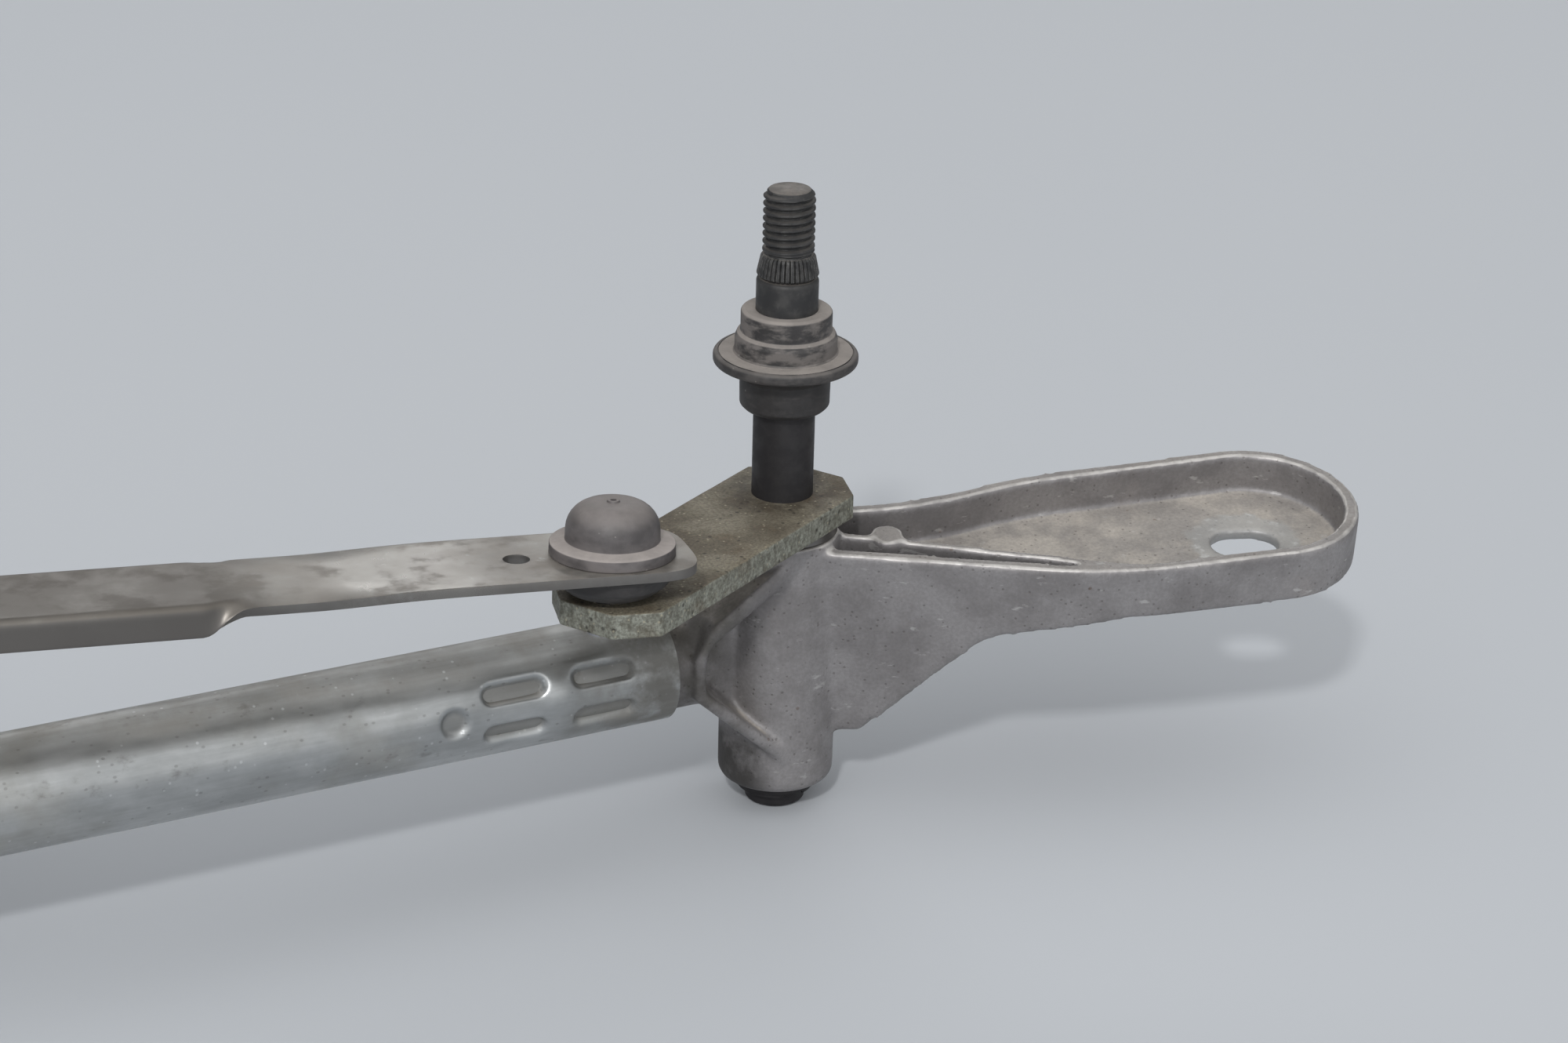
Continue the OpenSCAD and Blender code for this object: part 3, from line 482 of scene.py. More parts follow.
def tube_zinc():
    material, tree, shader, place = new_finish("tube_zinc")
    lengthwise = stretched(tree, place, (0.06, 1.0, 1.0))
    drawn_marks = use(tree, MOTTLING, lengthwise, Scale=620.0, Detail=4.0, Low=0.3, High=0.7)
    clouds = use(tree, MOTTLING, stretched(tree, place, (0.5, 1.0, 1.0)), Scale=75.0, Low=0.35, High=0.68)
    colour = mix(tree, clouds, srgb(166, 168, 168), srgb(196, 198, 198))
    colour = tint(tree, colour, drawn_marks, 0.2, (128, 128, 127))
    dust = use(tree, SETTLED_DUST, place, Scale=60.0, Start=0.5, Full=0.95, Thin=0.45)
    colour = tint(tree, colour, dust, 0.75, (142, 137, 129))
    tarnish = use(tree, MOTTLING, place, Scale=34.0, Detail=8.0, Low=0.5, High=0.7)
    colour = tint(tree, colour, tarnish, 0.4, (128, 124, 114))
    longish = stretched(tree, place, (0.7, 1.0, 1.0))
    smudges = use(tree, MOTTLING, longish, Scale=170.0, Detail=8.0, Low=0.6, High=0.72)
    colour = tint(tree, colour, smudges, 0.45, (96, 92, 86))
    spots = use(tree, SPECKS, longish, Scale=1000.0, Radius=0.34, Share=0.14)
    colour = tint(tree, colour, spots, 0.3, (92, 88, 82))
    bloom = use(tree, SPECKS, place, Scale=800.0, Radius=0.3, Share=0.07)
    colour = tint(tree, colour, bloom, 0.5, (216, 218, 218))
    patchy = use(tree, MOTTLING, place, Scale=150.0, Detail=7.0, Low=0.3, High=0.62)
    near_end = ramp(tree, between_shafts(tree, place), *TUBE_END_GRIME, 1.0, 0.0)
    low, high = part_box("frame_tube")
    from_axis = nearest_distance(tree, place, [(low + high) / 2], ACROSS_TUBE)
    # The pressed crimps and dimples are painted darker: painted shade in their hollows.
    crimp_shade = ramp(tree, from_axis, *CRIMP_FLOOR, 0.8, 0.0)
    # Grime near the tube's ends and the painted shade in the crimps share one dark colour.
    grime = math_node(tree, "MAXIMUM", times(tree, near_end, patchy), crimp_shade)
    colour = tint(tree, colour, grime, 0.75, (94, 90, 82))
    dull = math_node(tree, "MAXIMUM", dust, times(tree, tarnish, 0.6))
    dull = math_node(tree, "MAXIMUM", dull, grime)
    rough = math_node(tree, "ADD", blend(tree, drawn_marks, 0.3, 0.4), times(tree, dull, 0.22))
    coat(tree, shader, colour, blend(tree, dull, 0.95, 0.45), rough)
    relief = math_node(tree, "SUBTRACT", times(tree, drawn_marks, 0.3), spots)
    bump(tree, shader, relief, 0.35, 0.05 * MM)
    return material


# %% Ball centres
BALL_R = 6.5 * MM


def ball_centre(stud, up):
    low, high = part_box(stud)
    z = high.z - BALL_R if up else low.z + BALL_R
    return Vector(((low.x + high.x) / 2, (low.y + high.y) / 2, z))


CRANK_STUD = {"right": "crank_upper_stud", "left": "crank_lower_stud"}
ball_places = [ball_centre(stud, side == "right") for side in SIDES
               for stud in (side + "_ball_stud", CRANK_STUD[side])]

# %% Weathered zinc on the rods: a painted highlight on a smoother band near the ends, painted shade on the steep faces, brown and dull farther in
ROD_HIGHLIGHT_FROM = (20 * MM, 34 * MM)
ROD_HIGHLIGHT_TO = (48 * MM, 62 * MM)
ROD_WEATHERED = (58 * MM, 76 * MM)


def rod_zinc():
    material, tree, shader, place = new_finish("rod_zinc")
    clouds = use(tree, MOTTLING, place, Scale=48.0, Detail=7.0, Low=0.36, High=0.66)
    colour = mix(tree, clouds, srgb(128, 124, 119), srgb(158, 156, 151))
    film = use(tree, MOTTLING, place, Scale=110.0, Detail=7.0, Low=0.45, High=0.68)
    colour = tint(tree, colour, film, 0.5, (124, 118, 112))
    rust = use(tree, MOTTLING, place, Scale=26.0, Detail=8.0, Low=0.6, High=0.74)
    colour = tint(tree, colour, rust, 0.4, (126, 98, 70))
    dust = use(tree, SETTLED_DUST, place, Scale=120.0, Start=0.5, Full=0.98, Thin=0.3)
    colour = tint(tree, colour, dust, 0.45, (158, 150, 141))
    bloom = use(tree, MOTTLING, place, Scale=160.0, Low=0.66, High=0.75)
    colour = tint(tree, colour, bloom, 0.55, (182, 184, 182))
    away = nearest_distance(tree, place, ball_places)
    patchy = use(tree, MOTTLING, place, Scale=60.0, Detail=7.0, Low=0.2, High=0.6)
    weathered = ramp(tree, away, *ROD_WEATHERED)
    colour = tint(tree, colour, weathered, blend(tree, patchy, 0.5, 0.85), (102, 97, 91))
    # Steep faces, such as the flanges and the channel's sides, are painted darker: painted shade.
    up_or_down = math_node(tree, "ABSOLUTE", height_of(tree, facing(tree)))
    steep = ramp(tree, up_or_down, 0.3, 0.75, 0.6, 0.0)
    colour = mix(tree, steep, colour, srgb(84, 83, 83))
    # A paler band some way in from each end is a painted highlight; the band is also smoother and more metallic.
    rubbed = times(tree, ramp(tree, away, *ROD_HIGHLIGHT_FROM), ramp(tree, away, *ROD_HIGHLIGHT_TO, 1.0, 0.0))
    rubbed = times(tree, rubbed, blend(tree, film, 0.9, 0.4))
    colour = tint(tree, colour, rubbed, 0.5, (158, 155, 150))
    dull = math_node(tree, "MAXIMUM", times(tree, dust, 0.6), rust)
    dull = math_node(tree, "MAXIMUM", dull, times(tree, steep, 0.8))
    dull = math_node(tree, "SUBTRACT", dull, rubbed)
    rough = math_node(tree, "SUBTRACT", blend(tree, film, 0.36, 0.5), times(tree, rubbed, 0.15))
    rough = math_node(tree, "ADD", rough, times(tree, dust, 0.12))
    coat(tree, shader, colour, blend(tree, dull, 0.85, 0.35), rough)
    bump(tree, shader, times(tree, film, 0.5), 0.35, 0.06 * MM)
    return material


# %% Olive passivate on the stamped levers: gritty brown on top, paler crystals on the sheared edges
SHAFT_STAIN = (8 * MM, 14 * MM)


def lever_zinc():
    material, tree, shader, place = new_finish("lever_zinc")
    clouds = use(tree, MOTTLING, place, Scale=85.0, Detail=8.0, Low=0.36, High=0.66)
    top = mix(tree, clouds, srgb(98, 90, 77), srgb(134, 127, 110))
    upright = stretched(tree, place, (1.0, 1.0, 0.65))
    torn = use(tree, MOTTLING, upright, Scale=900.0, Detail=6.0, Low=0.36, High=0.66)
    side = mix(tree, torn, srgb(122, 122, 111), srgb(156, 158, 147))
    up_or_down = math_node(tree, "ABSOLUTE", height_of(tree, facing(tree)))
    is_side = ramp(tree, up_or_down, 0.5, 0.85, 1.0, 0.0)
    colour = mix(tree, is_side, top, side)
    rust = use(tree, MOTTLING, place, Scale=120.0, Detail=9.0, Low=0.52, High=0.72)
    colour = tint(tree, colour, rust, 0.45, (96, 76, 54))
    from_shaft = nearest_distance(tree, place, SHAFT_PLACE.values(), LEVEL)
    stain = use(tree, MOTTLING, place, Scale=260.0, Detail=6.0, Low=0.3, High=0.6)
    colour = tint(tree, colour, stain, ramp(tree, from_shaft, *SHAFT_STAIN, 0.75, 0.0), (66, 58, 48))
    grit = use(tree, MOTTLING, place, Scale=1700.0, Detail=4.0, Low=0.42, High=0.6)
    colour = tint(tree, colour, grit, 0.42, (60, 54, 45))
    black = use(tree, SPECKS, place, Scale=700.0, Radius=0.36, Share=0.16)
    colour = tint(tree, colour, black, 0.7, (42, 39, 34))
    turned = stretched(tree, place, (1.0, 1.0, 1.0), (0.5, 0.2, 0.3))
    crystals = use(tree, SPECKS, turned, Scale=1200.0, Radius=0.36, Share=0.14)
    colour = tint(tree, colour, crystals, 0.5, (186, 178, 154))
    wear = use(tree, EDGE_WEAR, place, Width=0.4 * MM, Low=0.02, High=0.2, Breaks=520.0)
    colour = tint(tree, colour, wear, 0.5, (186, 184, 168))
    coat(tree, shader, colour, blend(tree, is_side, 0.15, 0.4), blend(tree, clouds, 0.72, 0.58))
    relief = math_node(tree, "SUBTRACT", times(tree, torn, 0.5), math_node(tree, "ADD", grit, black))
    bump(tree, shader, relief, 0.45, 0.06 * MM)
    return material


# %% Phosphated shaft steel: dusty where it stands clear, near black below the seal
SEAL_Z = SHAFT_PLACE["right"].z + 30 * MM
SEAL_FADE = 4 * MM
CONE_TOP_Z = SHAFT_PLACE["right"].z + 49.4 * MM
CONE_FADE = 0.4 * MM


def shaft_steel():
    material, tree, shader, place = new_finish("shaft_steel")
    clouds = use(tree, MOTTLING, place, Scale=240.0, Detail=6.0, Low=0.36, High=0.68)
    dusty = mix(tree, clouds, srgb(46, 46, 47), srgb(66, 65, 64))
    # The steel is darker below the seal.
    below_seal_colour = mix(tree, clouds, srgb(34, 32, 34), srgb(44, 42, 43))
    height = height_of(tree, place)
    clear = ramp(tree, height, SEAL_Z - SEAL_FADE, SEAL_Z + SEAL_FADE)
    colour = mix(tree, clear, below_seal_colour, dusty)
    dust = use(tree, SETTLED_DUST, place, Scale=320.0, Start=0.8, Full=0.97, Thin=0.5)
    dust = times(tree, dust, clear)
    colour = tint(tree, colour, dust, 0.8, (140, 133, 126))
    upright = stretched(tree, place, (1.0, 1.0, 0.5))
    scuffs = use(tree, MOTTLING, upright, Scale=520.0, Low=0.62, High=0.74)
    scuffs = times(tree, scuffs, blend(tree, clear, 0.15, 1.0))
    colour = tint(tree, colour, scuffs, 0.3, (140, 138, 135))
    wear = use(tree, EDGE_WEAR, place, Width=0.3 * MM, Low=0.03, High=0.25, Breaks=900.0)
    wear = times(tree, wear, clear)
    over_cone = ramp(tree, height, CONE_TOP_Z, CONE_TOP_Z + CONE_FADE, 0.7, 0.3)
    colour = tint(tree, colour, wear, over_cone, (176, 174, 170))
    metallic = blend(tree, math_node(tree, "MAXIMUM", scuffs, wear), 0.25, 0.85)
    coat(tree, shader, colour, metallic, blend(tree, clouds, 0.62, 0.52))
    bump(tree, shader, clouds, 0.3, 0.05 * MM)
    return material


# %% Ground steel of the ball studs, with a film of grease
def stud_steel():
    material, tree, shader, place = new_finish("stud_steel")
    film = use(tree, MOTTLING, place, Scale=300.0, Low=0.4, High=0.7)
    colour = mix(tree, film, srgb(170, 170, 172), srgb(122, 112, 96))
    coat(tree, shader, colour, 1.0, blend(tree, film, 0.2, 0.42))
    return material


# %% Sintered bronze of the bushes
def bush_bronze():
    material, tree, shader, place = new_finish("bush_bronze")
    pores = use(tree, SPECKS, place, Scale=1400.0, Radius=0.4, Share=0.5)
    colour = mix(tree, pores, srgb(178, 138, 88), srgb(92, 66, 38))
    coat(tree, shader, colour, 1.0, 0.45)
    bump(tree, shader, times(tree, pores, -1.0), 0.4, 0.05 * MM)
    return material


# %% Where dust stays: inside the seal's rubbed rim, and off the sockets' domes
SEAL_RIM_R = 12.9 * MM
SEAL_RIM_FADE = 0.2 * MM
DOME_R = 8.4 * MM
DOME_FADE = 0.5 * MM


def inside_rim(tree, place):
    away = nearest_distance(tree, place, SHAFT_PLACE.values(), LEVEL)
    return ramp(tree, away, SEAL_RIM_R, SEAL_RIM_R + SEAL_RIM_FADE, 1.0, 0.3)


def off_dome(tree, place):
    away = nearest_distance(tree, place, ball_places, LEVEL)
    return ramp(tree, away, DOME_R, DOME_R + DOME_FADE, 0.4, 1.0)


# %% Rubber and plastic: a dark body, a streaky film that is rubbed off in places, and dust on top
DARKER = 0.65


def dusty_polymer(name, body, film_paint, dust_paint, rubbed, roughness, scale, kept=None):
    material, tree, shader, place = new_finish(name)
    shade = use(tree, MOTTLING, place, Scale=300.0, Detail=6.0, Low=0.35, High=0.7)
    body_colour = srgb(*body)
    dark_colour = tuple(DARKER * part for part in body_colour[:3]) + (1.0,)
    colour = mix(tree, shade, dark_colour, body_colour)
    banded = stretched(tree, place, (1.0, 1.0, 2.4))
    film = use(tree, MOTTLING, banded, Scale=scale, Detail=7.0, Low=rubbed[0], High=rubbed[1])
    dust = use(tree, SETTLED_DUST, place, Scale=180.0, Start=0.35, Full=0.9, Thin=0.75)
    if kept:
        mask = kept(tree, place)
        film = times(tree, film, mask)
        dust = times(tree, dust, mask)
    colour = mix(tree, film, colour, srgb(*film_paint))
    colour = mix(tree, dust, colour, srgb(*dust_paint))
    flecks = use(tree, SPECKS, place, Scale=900.0, Radius=0.25, Share=0.05)
    colour = tint(tree, colour, flecks, 0.4, (160, 155, 150))
    covered = math_node(tree, "MAXIMUM", dust, times(tree, film, 0.6))
    coat(tree, shader, colour, 0.0, blend(tree, covered, roughness, 0.85))
    relief = math_node(tree, "ADD", times(tree, covered, 0.6), shade)
    bump(tree, shader, relief, 0.35, 0.07 * MM)
    return material


# %% Make the finishes
CAST = cast_aluminium()
TUBE_ZINC = tube_zinc()
ROD_ZINC = rod_zinc()
LEVER_ZINC = lever_zinc()
SHAFT_STEEL = shaft_steel()
STUD_STEEL = stud_steel()
BRONZE = bush_bronze()
SEAL_RUBBER = dusty_polymer("seal_rubber", (58, 56, 56), (106, 101, 98), (150, 143, 137),
                            rubbed=(0.4, 0.58), roughness=0.6, scale=190.0, kept=inside_rim)
BOOT_RUBBER = dusty_polymer("boot_rubber", (52, 50, 50), (66, 63, 62), (84, 80, 78),
                            rubbed=(0.5, 0.7), roughness=0.6, scale=160.0)
SOCKET_PLASTIC = dusty_polymer("socket_plastic", (90, 86, 86), (110, 105, 104), (166, 158, 153),
                               rubbed=(0.4, 0.62), roughness=0.5, scale=90.0, kept=off_dome)
print("finishes", len(bpy.data.materials))

# %% [markdown]
# ## The pivot housings
# Each housing is one die casting: boss, spigot, ribbed gusset and a tray-shaped fixing ear. A casting has no
# sharp inner corners, and beveling so many crossing edges one by one would be fragile. So a merged copy of
# the solid is voxel remeshed into one even skin and drawn back onto the solid's own surface, which takes the
# voxels' steps away again. Plain smoothing then turns every edge into a small cast radius. Corners with a
# larger radius are smoothed for longer.

# %% An even skin over a solid
SMOOTH_SHARE = 0.5
DRAWN_ROUNDS = 3
DRAWN_SMOOTHING = 4


def smooth(bm, verts, rounds):
    for _ in range(rounds):
        bmesh.ops.smooth_vert(bm, verts=verts, factor=SMOOTH_SHARE, use_axis_x=True, use_axis_y=True,
                              use_axis_z=True)


def even_skin(name, mesh, voxel):
    """A piece with an even skin over a closed bmesh, and the bmesh of that skin."""
    mould = new_object("mould", mesh)
    piece = bpy.data.objects.new(name, mould.data.copy())
    scene.collection.objects.link(piece)
    remesh = piece.modifiers.new("even skin", "REMESH")
    remesh.mode = "VOXEL"
    remesh.voxel_size = voxel
    apply_modifiers(piece)
    bm = bmesh.new()
    bm.from_mesh(piece.data)
    for _ in range(DRAWN_ROUNDS):
        smooth(bm, bm.verts, DRAWN_SMOOTHING)
        bm.to_mesh(piece.data)
        draw = piece.modifiers.new("onto the solid", "SHRINKWRAP")
        draw.target = mould
        draw.wrap_method = "NEAREST_SURFACEPOINT"
        apply_modifiers(piece)
        bm.clear()
        bm.from_mesh(piece.data)
    bpy.data.objects.remove(mould)
    print(name, "skin faces", len(bm.faces))
    return piece, bm


# %% [markdown]
# ## Shaping the casting
# A few forms are shaped on the skin. The gusset's web is pressed flat between its ribs, so that the boss
# stands clear of it. The upper rib is lifted a little, since a cast rib runs up to the boss's rim. The tray
# gets a locating pin that stands proud of the long rib beside it. Inside the tube, out of sight, the spigot
# is drawn in to leave room for the crimps.

# %% Shapes on the casting
BOSS_RADIUS = 11.5
BOSS_TOP_Z = -7.8
SKIN_PLAY = 0.1
TIP_X = -23.6
RIB_ROOT_X = -21.0
UPPER_IN_Z = -28.44
UPPER_IN_SLOPE = 0.672
UPPER_OUT_Z = -27.4
UPPER_OUT_SLOPE = 0.703
LOWER_IN_Z = -34.76
LOWER_IN_SLOPE = -0.918
RIB_LIFT_IN = 2.5
RIB_LIFT_OUT = 4.0
LIFT_RUN = 4.0
LIFT_END = 3.0
RIM_GAP = 0.5
WEB_HALF = 3.3
WEB_START = 3.1
WEB_MARGIN = 0.5
TUBE_AXIS_Z = -31.6
SPIGOT_X = -31.0
SPIGOT_ROOM = 7.8
PIN_PLACE = (20.7, -3.7)
PIN_RADIUS = 3.2
PIN_DEPTH = 8.4
PIN_SEGMENTS = 40


def upper_rib(x):
    """Heights of the upper rib's inner and outer edge."""
    inner = UPPER_IN_Z + UPPER_IN_SLOPE * (x - RIB_ROOT_X)
    return inner, UPPER_OUT_Z + UPPER_OUT_SLOPE * (x - TIP_X)


def lower_rib(x):
    """Height of the lower rib's inner edge."""
    return LOWER_IN_Z + LOWER_IN_SLOPE * (x - RIB_ROOT_X)


def lifted(x, z):
    """The height that a point of the upper half of the gusset moves to."""
    share = smooth_step(0, LIFT_RUN, x - TIP_X) * (1 - smooth_step(-LIFT_END, LIFT_END, x))
    inner, outer = upper_rib(x)
    knots = [(TUBE_AXIS_Z, TUBE_AXIS_Z), (inner, inner + RIB_LIFT_IN * share),
             (outer, min(outer + RIB_LIFT_OUT * share, BOSS_TOP_Z - RIM_GAP)), (BOSS_TOP_Z, BOSS_TOP_Z)]
    for (low, to_low), (high, to_high) in zip(knots, knots[1:]):
        if low <= z < high:
            return to_low + (to_high - to_low) * (z - low) / (high - low)
    return z


def shape_gusset(bm, side):
    place = SHAFT_PLACE[side]
    for vert in bm.verts:
        x, y, z = (vert.co - place) / MM
        x *= HAND[side]
        from_axis = math.hypot(y, z - TUBE_AXIS_Z)
        if x < SPIGOT_X and from_axis > SPIGOT_ROOM:
            y *= SPIGOT_ROOM / from_axis
            z = TUBE_AXIS_Z + (z - TUBE_AXIS_Z) * SPIGOT_ROOM / from_axis
        elif TIP_X < x < LIFT_END and abs(y) <= BOSS_RADIUS + SKIN_PLAY:
            between = lower_rib(x) + WEB_MARGIN < z < upper_rib(x)[0] - WEB_MARGIN
            if between and TIP_X + WEB_START < x < 0:
                face = max(WEB_HALF, math.sqrt(max(BOSS_RADIUS ** 2 - x * x, 0)))
                y = math.copysign(min(abs(y), face), y)
            z = lifted(x, z)
        else:
            continue
        vert.co = place + Vector((x * HAND[side], y, z)) * MM


def ear_frame(side):
    """The ear's own frame: X along the ear, Z up from the plane of its rim."""
    turn = Matrix.Rotation(-EAR_YAW, 4, "Z") @ Matrix.Rotation(EAR_TWIST, 4, "X")
    hand = Matrix.Diagonal((HAND[side], 1, 1, 1))
    return Matrix.Translation(SHAFT_PLACE[side]) @ hand @ Matrix.Translation((0, 0, -EAR_DROP * MM)) @ turn


def pin_bmesh(side):
    bm = bmesh.new()
    middle = Matrix.Translation(Vector(PIN_PLACE + (-PIN_DEPTH / 2,)) * MM)
    bmesh.ops.create_cone(bm, cap_ends=True, segments=PIN_SEGMENTS, radius1=PIN_RADIUS * MM,
                          radius2=PIN_RADIUS * MM, depth=PIN_DEPTH * MM, matrix=ear_frame(side) @ middle)
    bmesh.ops.recalc_face_normals(bm, faces=bm.faces)
    return bm


# %% [markdown]
# ## Larger radii
# The boss runs into the front wall in a wide fillet, and the wall's lower edge has two rounded corners. Only
# the vertices near those places get more smoothing.

# %% Cast housings
CAST_VOXEL = 0.59 * MM
CAST_SMOOTHING = 5
FILLET_SMOOTHING = 30
FILLET_REACH = 4.5
FILLET_OUT = 1.0
FILLET_FRONT = -2.0
FILLET_Z = (-46.0, -14.0)
CORNER_SMOOTHING = 16
KNEE = (39.0, -16.4)
WALL_CORNERS = (KNEE, (16.0, -41.3))
CORNER_REACH = 5.0
KNEE_FILL = 1.5
KNEE_REACH = 10.0
KNEE_Z = (-15.0, -9.0)


def in_boss_fillet(point, side):
    """Whether a point is where the boss runs into the ear's front wall."""
    x, y, z = (point - SHAFT_PLACE[side]) / MM
    near_boss = abs(math.hypot(x, y) - BOSS_RADIUS) < FILLET_REACH
    at_wall = x * HAND[side] > FILLET_OUT and y < FILLET_FRONT
    return near_boss and at_wall and FILLET_Z[0] < z < FILLET_Z[1]


def at_wall_corner(point, to_ear):
    """Whether a point is near a corner of the front wall's lower edge."""
    x, _, z = (to_ear @ point) / MM
    return any(math.hypot(x - a, z - b) < CORNER_REACH for a, b in WALL_CORNERS)


def fill_knee(bm, from_ear, to_ear):
    """Lowers the wall's lower edge round the knee, which leaves a long soft curve there."""
    for vert in bm.verts:
        point = (to_ear @ vert.co) / MM
        share = max(0.0, 1 - abs(point.x - KNEE[0]) / KNEE_REACH)
        if share > 0 and point.z < KNEE_Z[1]:
            point.z -= KNEE_FILL * share ** 2 * (1 - smooth_step(*KNEE_Z, point.z))
            vert.co = from_ear @ (point * MM)


for side in SIDES:
    solid = joined(node_copy(side + "_housing"), pin_bmesh(side))
    housing, bm = even_skin(side + "_cast_housing", solid, CAST_VOXEL)
    shape_gusset(bm, side)
    from_ear = ear_frame(side)
    to_ear = from_ear.inverted()
    fill_knee(bm, from_ear, to_ear)
    smooth(bm, bm.verts, CAST_SMOOTHING)
    smooth(bm, [vert for vert in bm.verts if in_boss_fillet(vert.co, side)], FILLET_SMOOTHING)
    smooth(bm, [vert for vert in bm.verts if at_wall_corner(vert.co, to_ear)], CORNER_SMOOTHING)
    bm.to_mesh(housing.data)
    bm.free()
    dress(housing, CAST, "frame", [side + "_housing"], sharp=180)

# %% [markdown]
# ## The frame tube
# The tube is locked on each spigot by pressed crimps: two rows of two slots, with a round dimple behind
# them, on the front and on the back. A press leaves soft edges and pushes metal up between the tools, which
# a boolean cut can't show. So the tube is spun with many rings near its ends, and each vertex there is moved
# in or out by a formula of its distance to the nearest tool mark.

# %% Crimped tube
tube_low, tube_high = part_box("frame_tube")
TUBE_RADIUS = (tube_high.y - tube_low.y) / 2
TUBE_WALL = 1.5 * MM
TUBE_Z = (tube_high.z + tube_low.z) / 2
CRIMP_ROWS = (42.6 * MM, 61.2 * MM)
CRIMP_HALF_SPREAD = math.radians(22.5)
CRIMP_LIFT = math.radians(6)
CRIMP_LEN = 12.6 * MM
CRIMP_W = 3.5 * MM
CRIMP_DEPTH = 1.5 * MM
CRIMP_EDGE = 0.75 * MM
HOLLOW_DEPTH = 0.45 * MM
HOLLOW_LEN = 8.5 * MM
HOLLOW_W = 7.5 * MM
RIDGE_HEIGHT = 0.8 * MM
RIDGE_LEN = 3.4 * MM
RIDGE_W = 4.5 * MM
RIDGE_LIFT = 0.1
DIMPLE_POS = 73.8 * MM
DIMPLE_RADIUS = 3 * MM
DIMPLE_DEPTH = 1.2 * MM
DIMPLE_EDGE_IN = 1.1 * MM
DIMPLE_EDGE_OUT = 0.5 * MM
CRIMP_ZONE = 54 * MM
FINE_RING = 0.5 * MM
COARSE_RING = 9 * MM
TUBE_STEPS = 150


def crimp_depth(along, around):
    """How far the skin is pressed in, by distance from the shaft and angle from the tools' middle."""
    depth = 0.0
    for row in CRIMP_ROWS:
        for centre in (-CRIMP_HALF_SPREAD, CRIMP_HALF_SPREAD):
            beyond = max(abs(along - row) - (CRIMP_LEN - CRIMP_W) / 2, 0.0)
            away = math.hypot(beyond, TUBE_RADIUS * (around - centre)) - CRIMP_W / 2
            depth = max(depth, CRIMP_DEPTH * (1 - smooth_step(-CRIMP_EDGE, CRIMP_EDGE, away)))
    away = math.hypot(along - DIMPLE_POS, TUBE_RADIUS * around)
    outside = smooth_step(DIMPLE_RADIUS - DIMPLE_EDGE_IN, DIMPLE_RADIUS + DIMPLE_EDGE_OUT, away)
    depth += DIMPLE_DEPTH * (1 - outside)
    for row in CRIMP_ROWS:
        spread = math.hypot((along - row) / HOLLOW_LEN, TUBE_RADIUS * around / HOLLOW_W)
        depth += HOLLOW_DEPTH * math.exp(-spread ** 4)
    middle = sum(CRIMP_ROWS) / 2
    ridge = math.hypot((along - middle) / RIDGE_LEN, TUBE_RADIUS * (around - RIDGE_LIFT) / RIDGE_W)
    return depth - RIDGE_HEIGHT * math.exp(-ridge * ridge)


def tube_stations():
    """Places of the tube's rings, close together where the crimps are."""
    fine = [k * FINE_RING for k in range(int(CRIMP_ZONE / FINE_RING) + 1)]
    length = tube_high.x - tube_low.x
    middle = length - 2 * CRIMP_ZONE
    count = int(middle / COARSE_RING)
    coarse = [CRIMP_ZONE + middle * k / count for k in range(1, count)]
    return [tube_low.x + s for s in fine + coarse + [length - s for s in reversed(fine)]]


bm = bmesh.new()
outer = [bm.verts.new((x, 0, TUBE_Z + TUBE_RADIUS)) for x in tube_stations()]
inner = [bm.verts.new((x, 0, TUBE_Z + TUBE_RADIUS - TUBE_WALL)) for x in (tube_high.x, tube_low.x)]
outline = outer + inner
edges = [bm.edges.new((a, b)) for a, b in zip(outline, outline[1:] + outline[:1])]
bmesh.ops.spin(bm, geom=outline + edges, cent=(0, 0, TUBE_Z), axis=(1, 0, 0), angle=math.tau,
               steps=TUBE_STEPS, use_merge=True, use_duplicate=False)
bmesh.ops.recalc_face_normals(bm, faces=bm.faces)
for vert in bm.verts:
    ray = Vector((0, vert.co.y, vert.co.z - TUBE_Z))
    if ray.length < TUBE_RADIUS - TUBE_WALL / 2:
        continue
    along = min(SHAFT_PLACE["right"].x - vert.co.x, vert.co.x - SHAFT_PLACE["left"].x)
    front = -1 if ray.y < 0 else 1
    around = math.atan2(-front * ray.z, front * ray.y) - CRIMP_LIFT
    vert.co -= ray.normalized() * crimp_depth(along, around)
tube = new_object("crimped_tube", bm)
dress(tube, TUBE_ZINC, "frame", ["frame_tube"], sharp=60)

# %% [markdown]
# ## The wiper shafts
# A shaft is turned, threaded and serrated. The thread is a true right-hand helix: the spun profile has rings
# much closer than the pitch, and each vertex moves inwards by where it lies between two crests. The serrated
# cone is a separate spun ring with several vertices to each tooth.

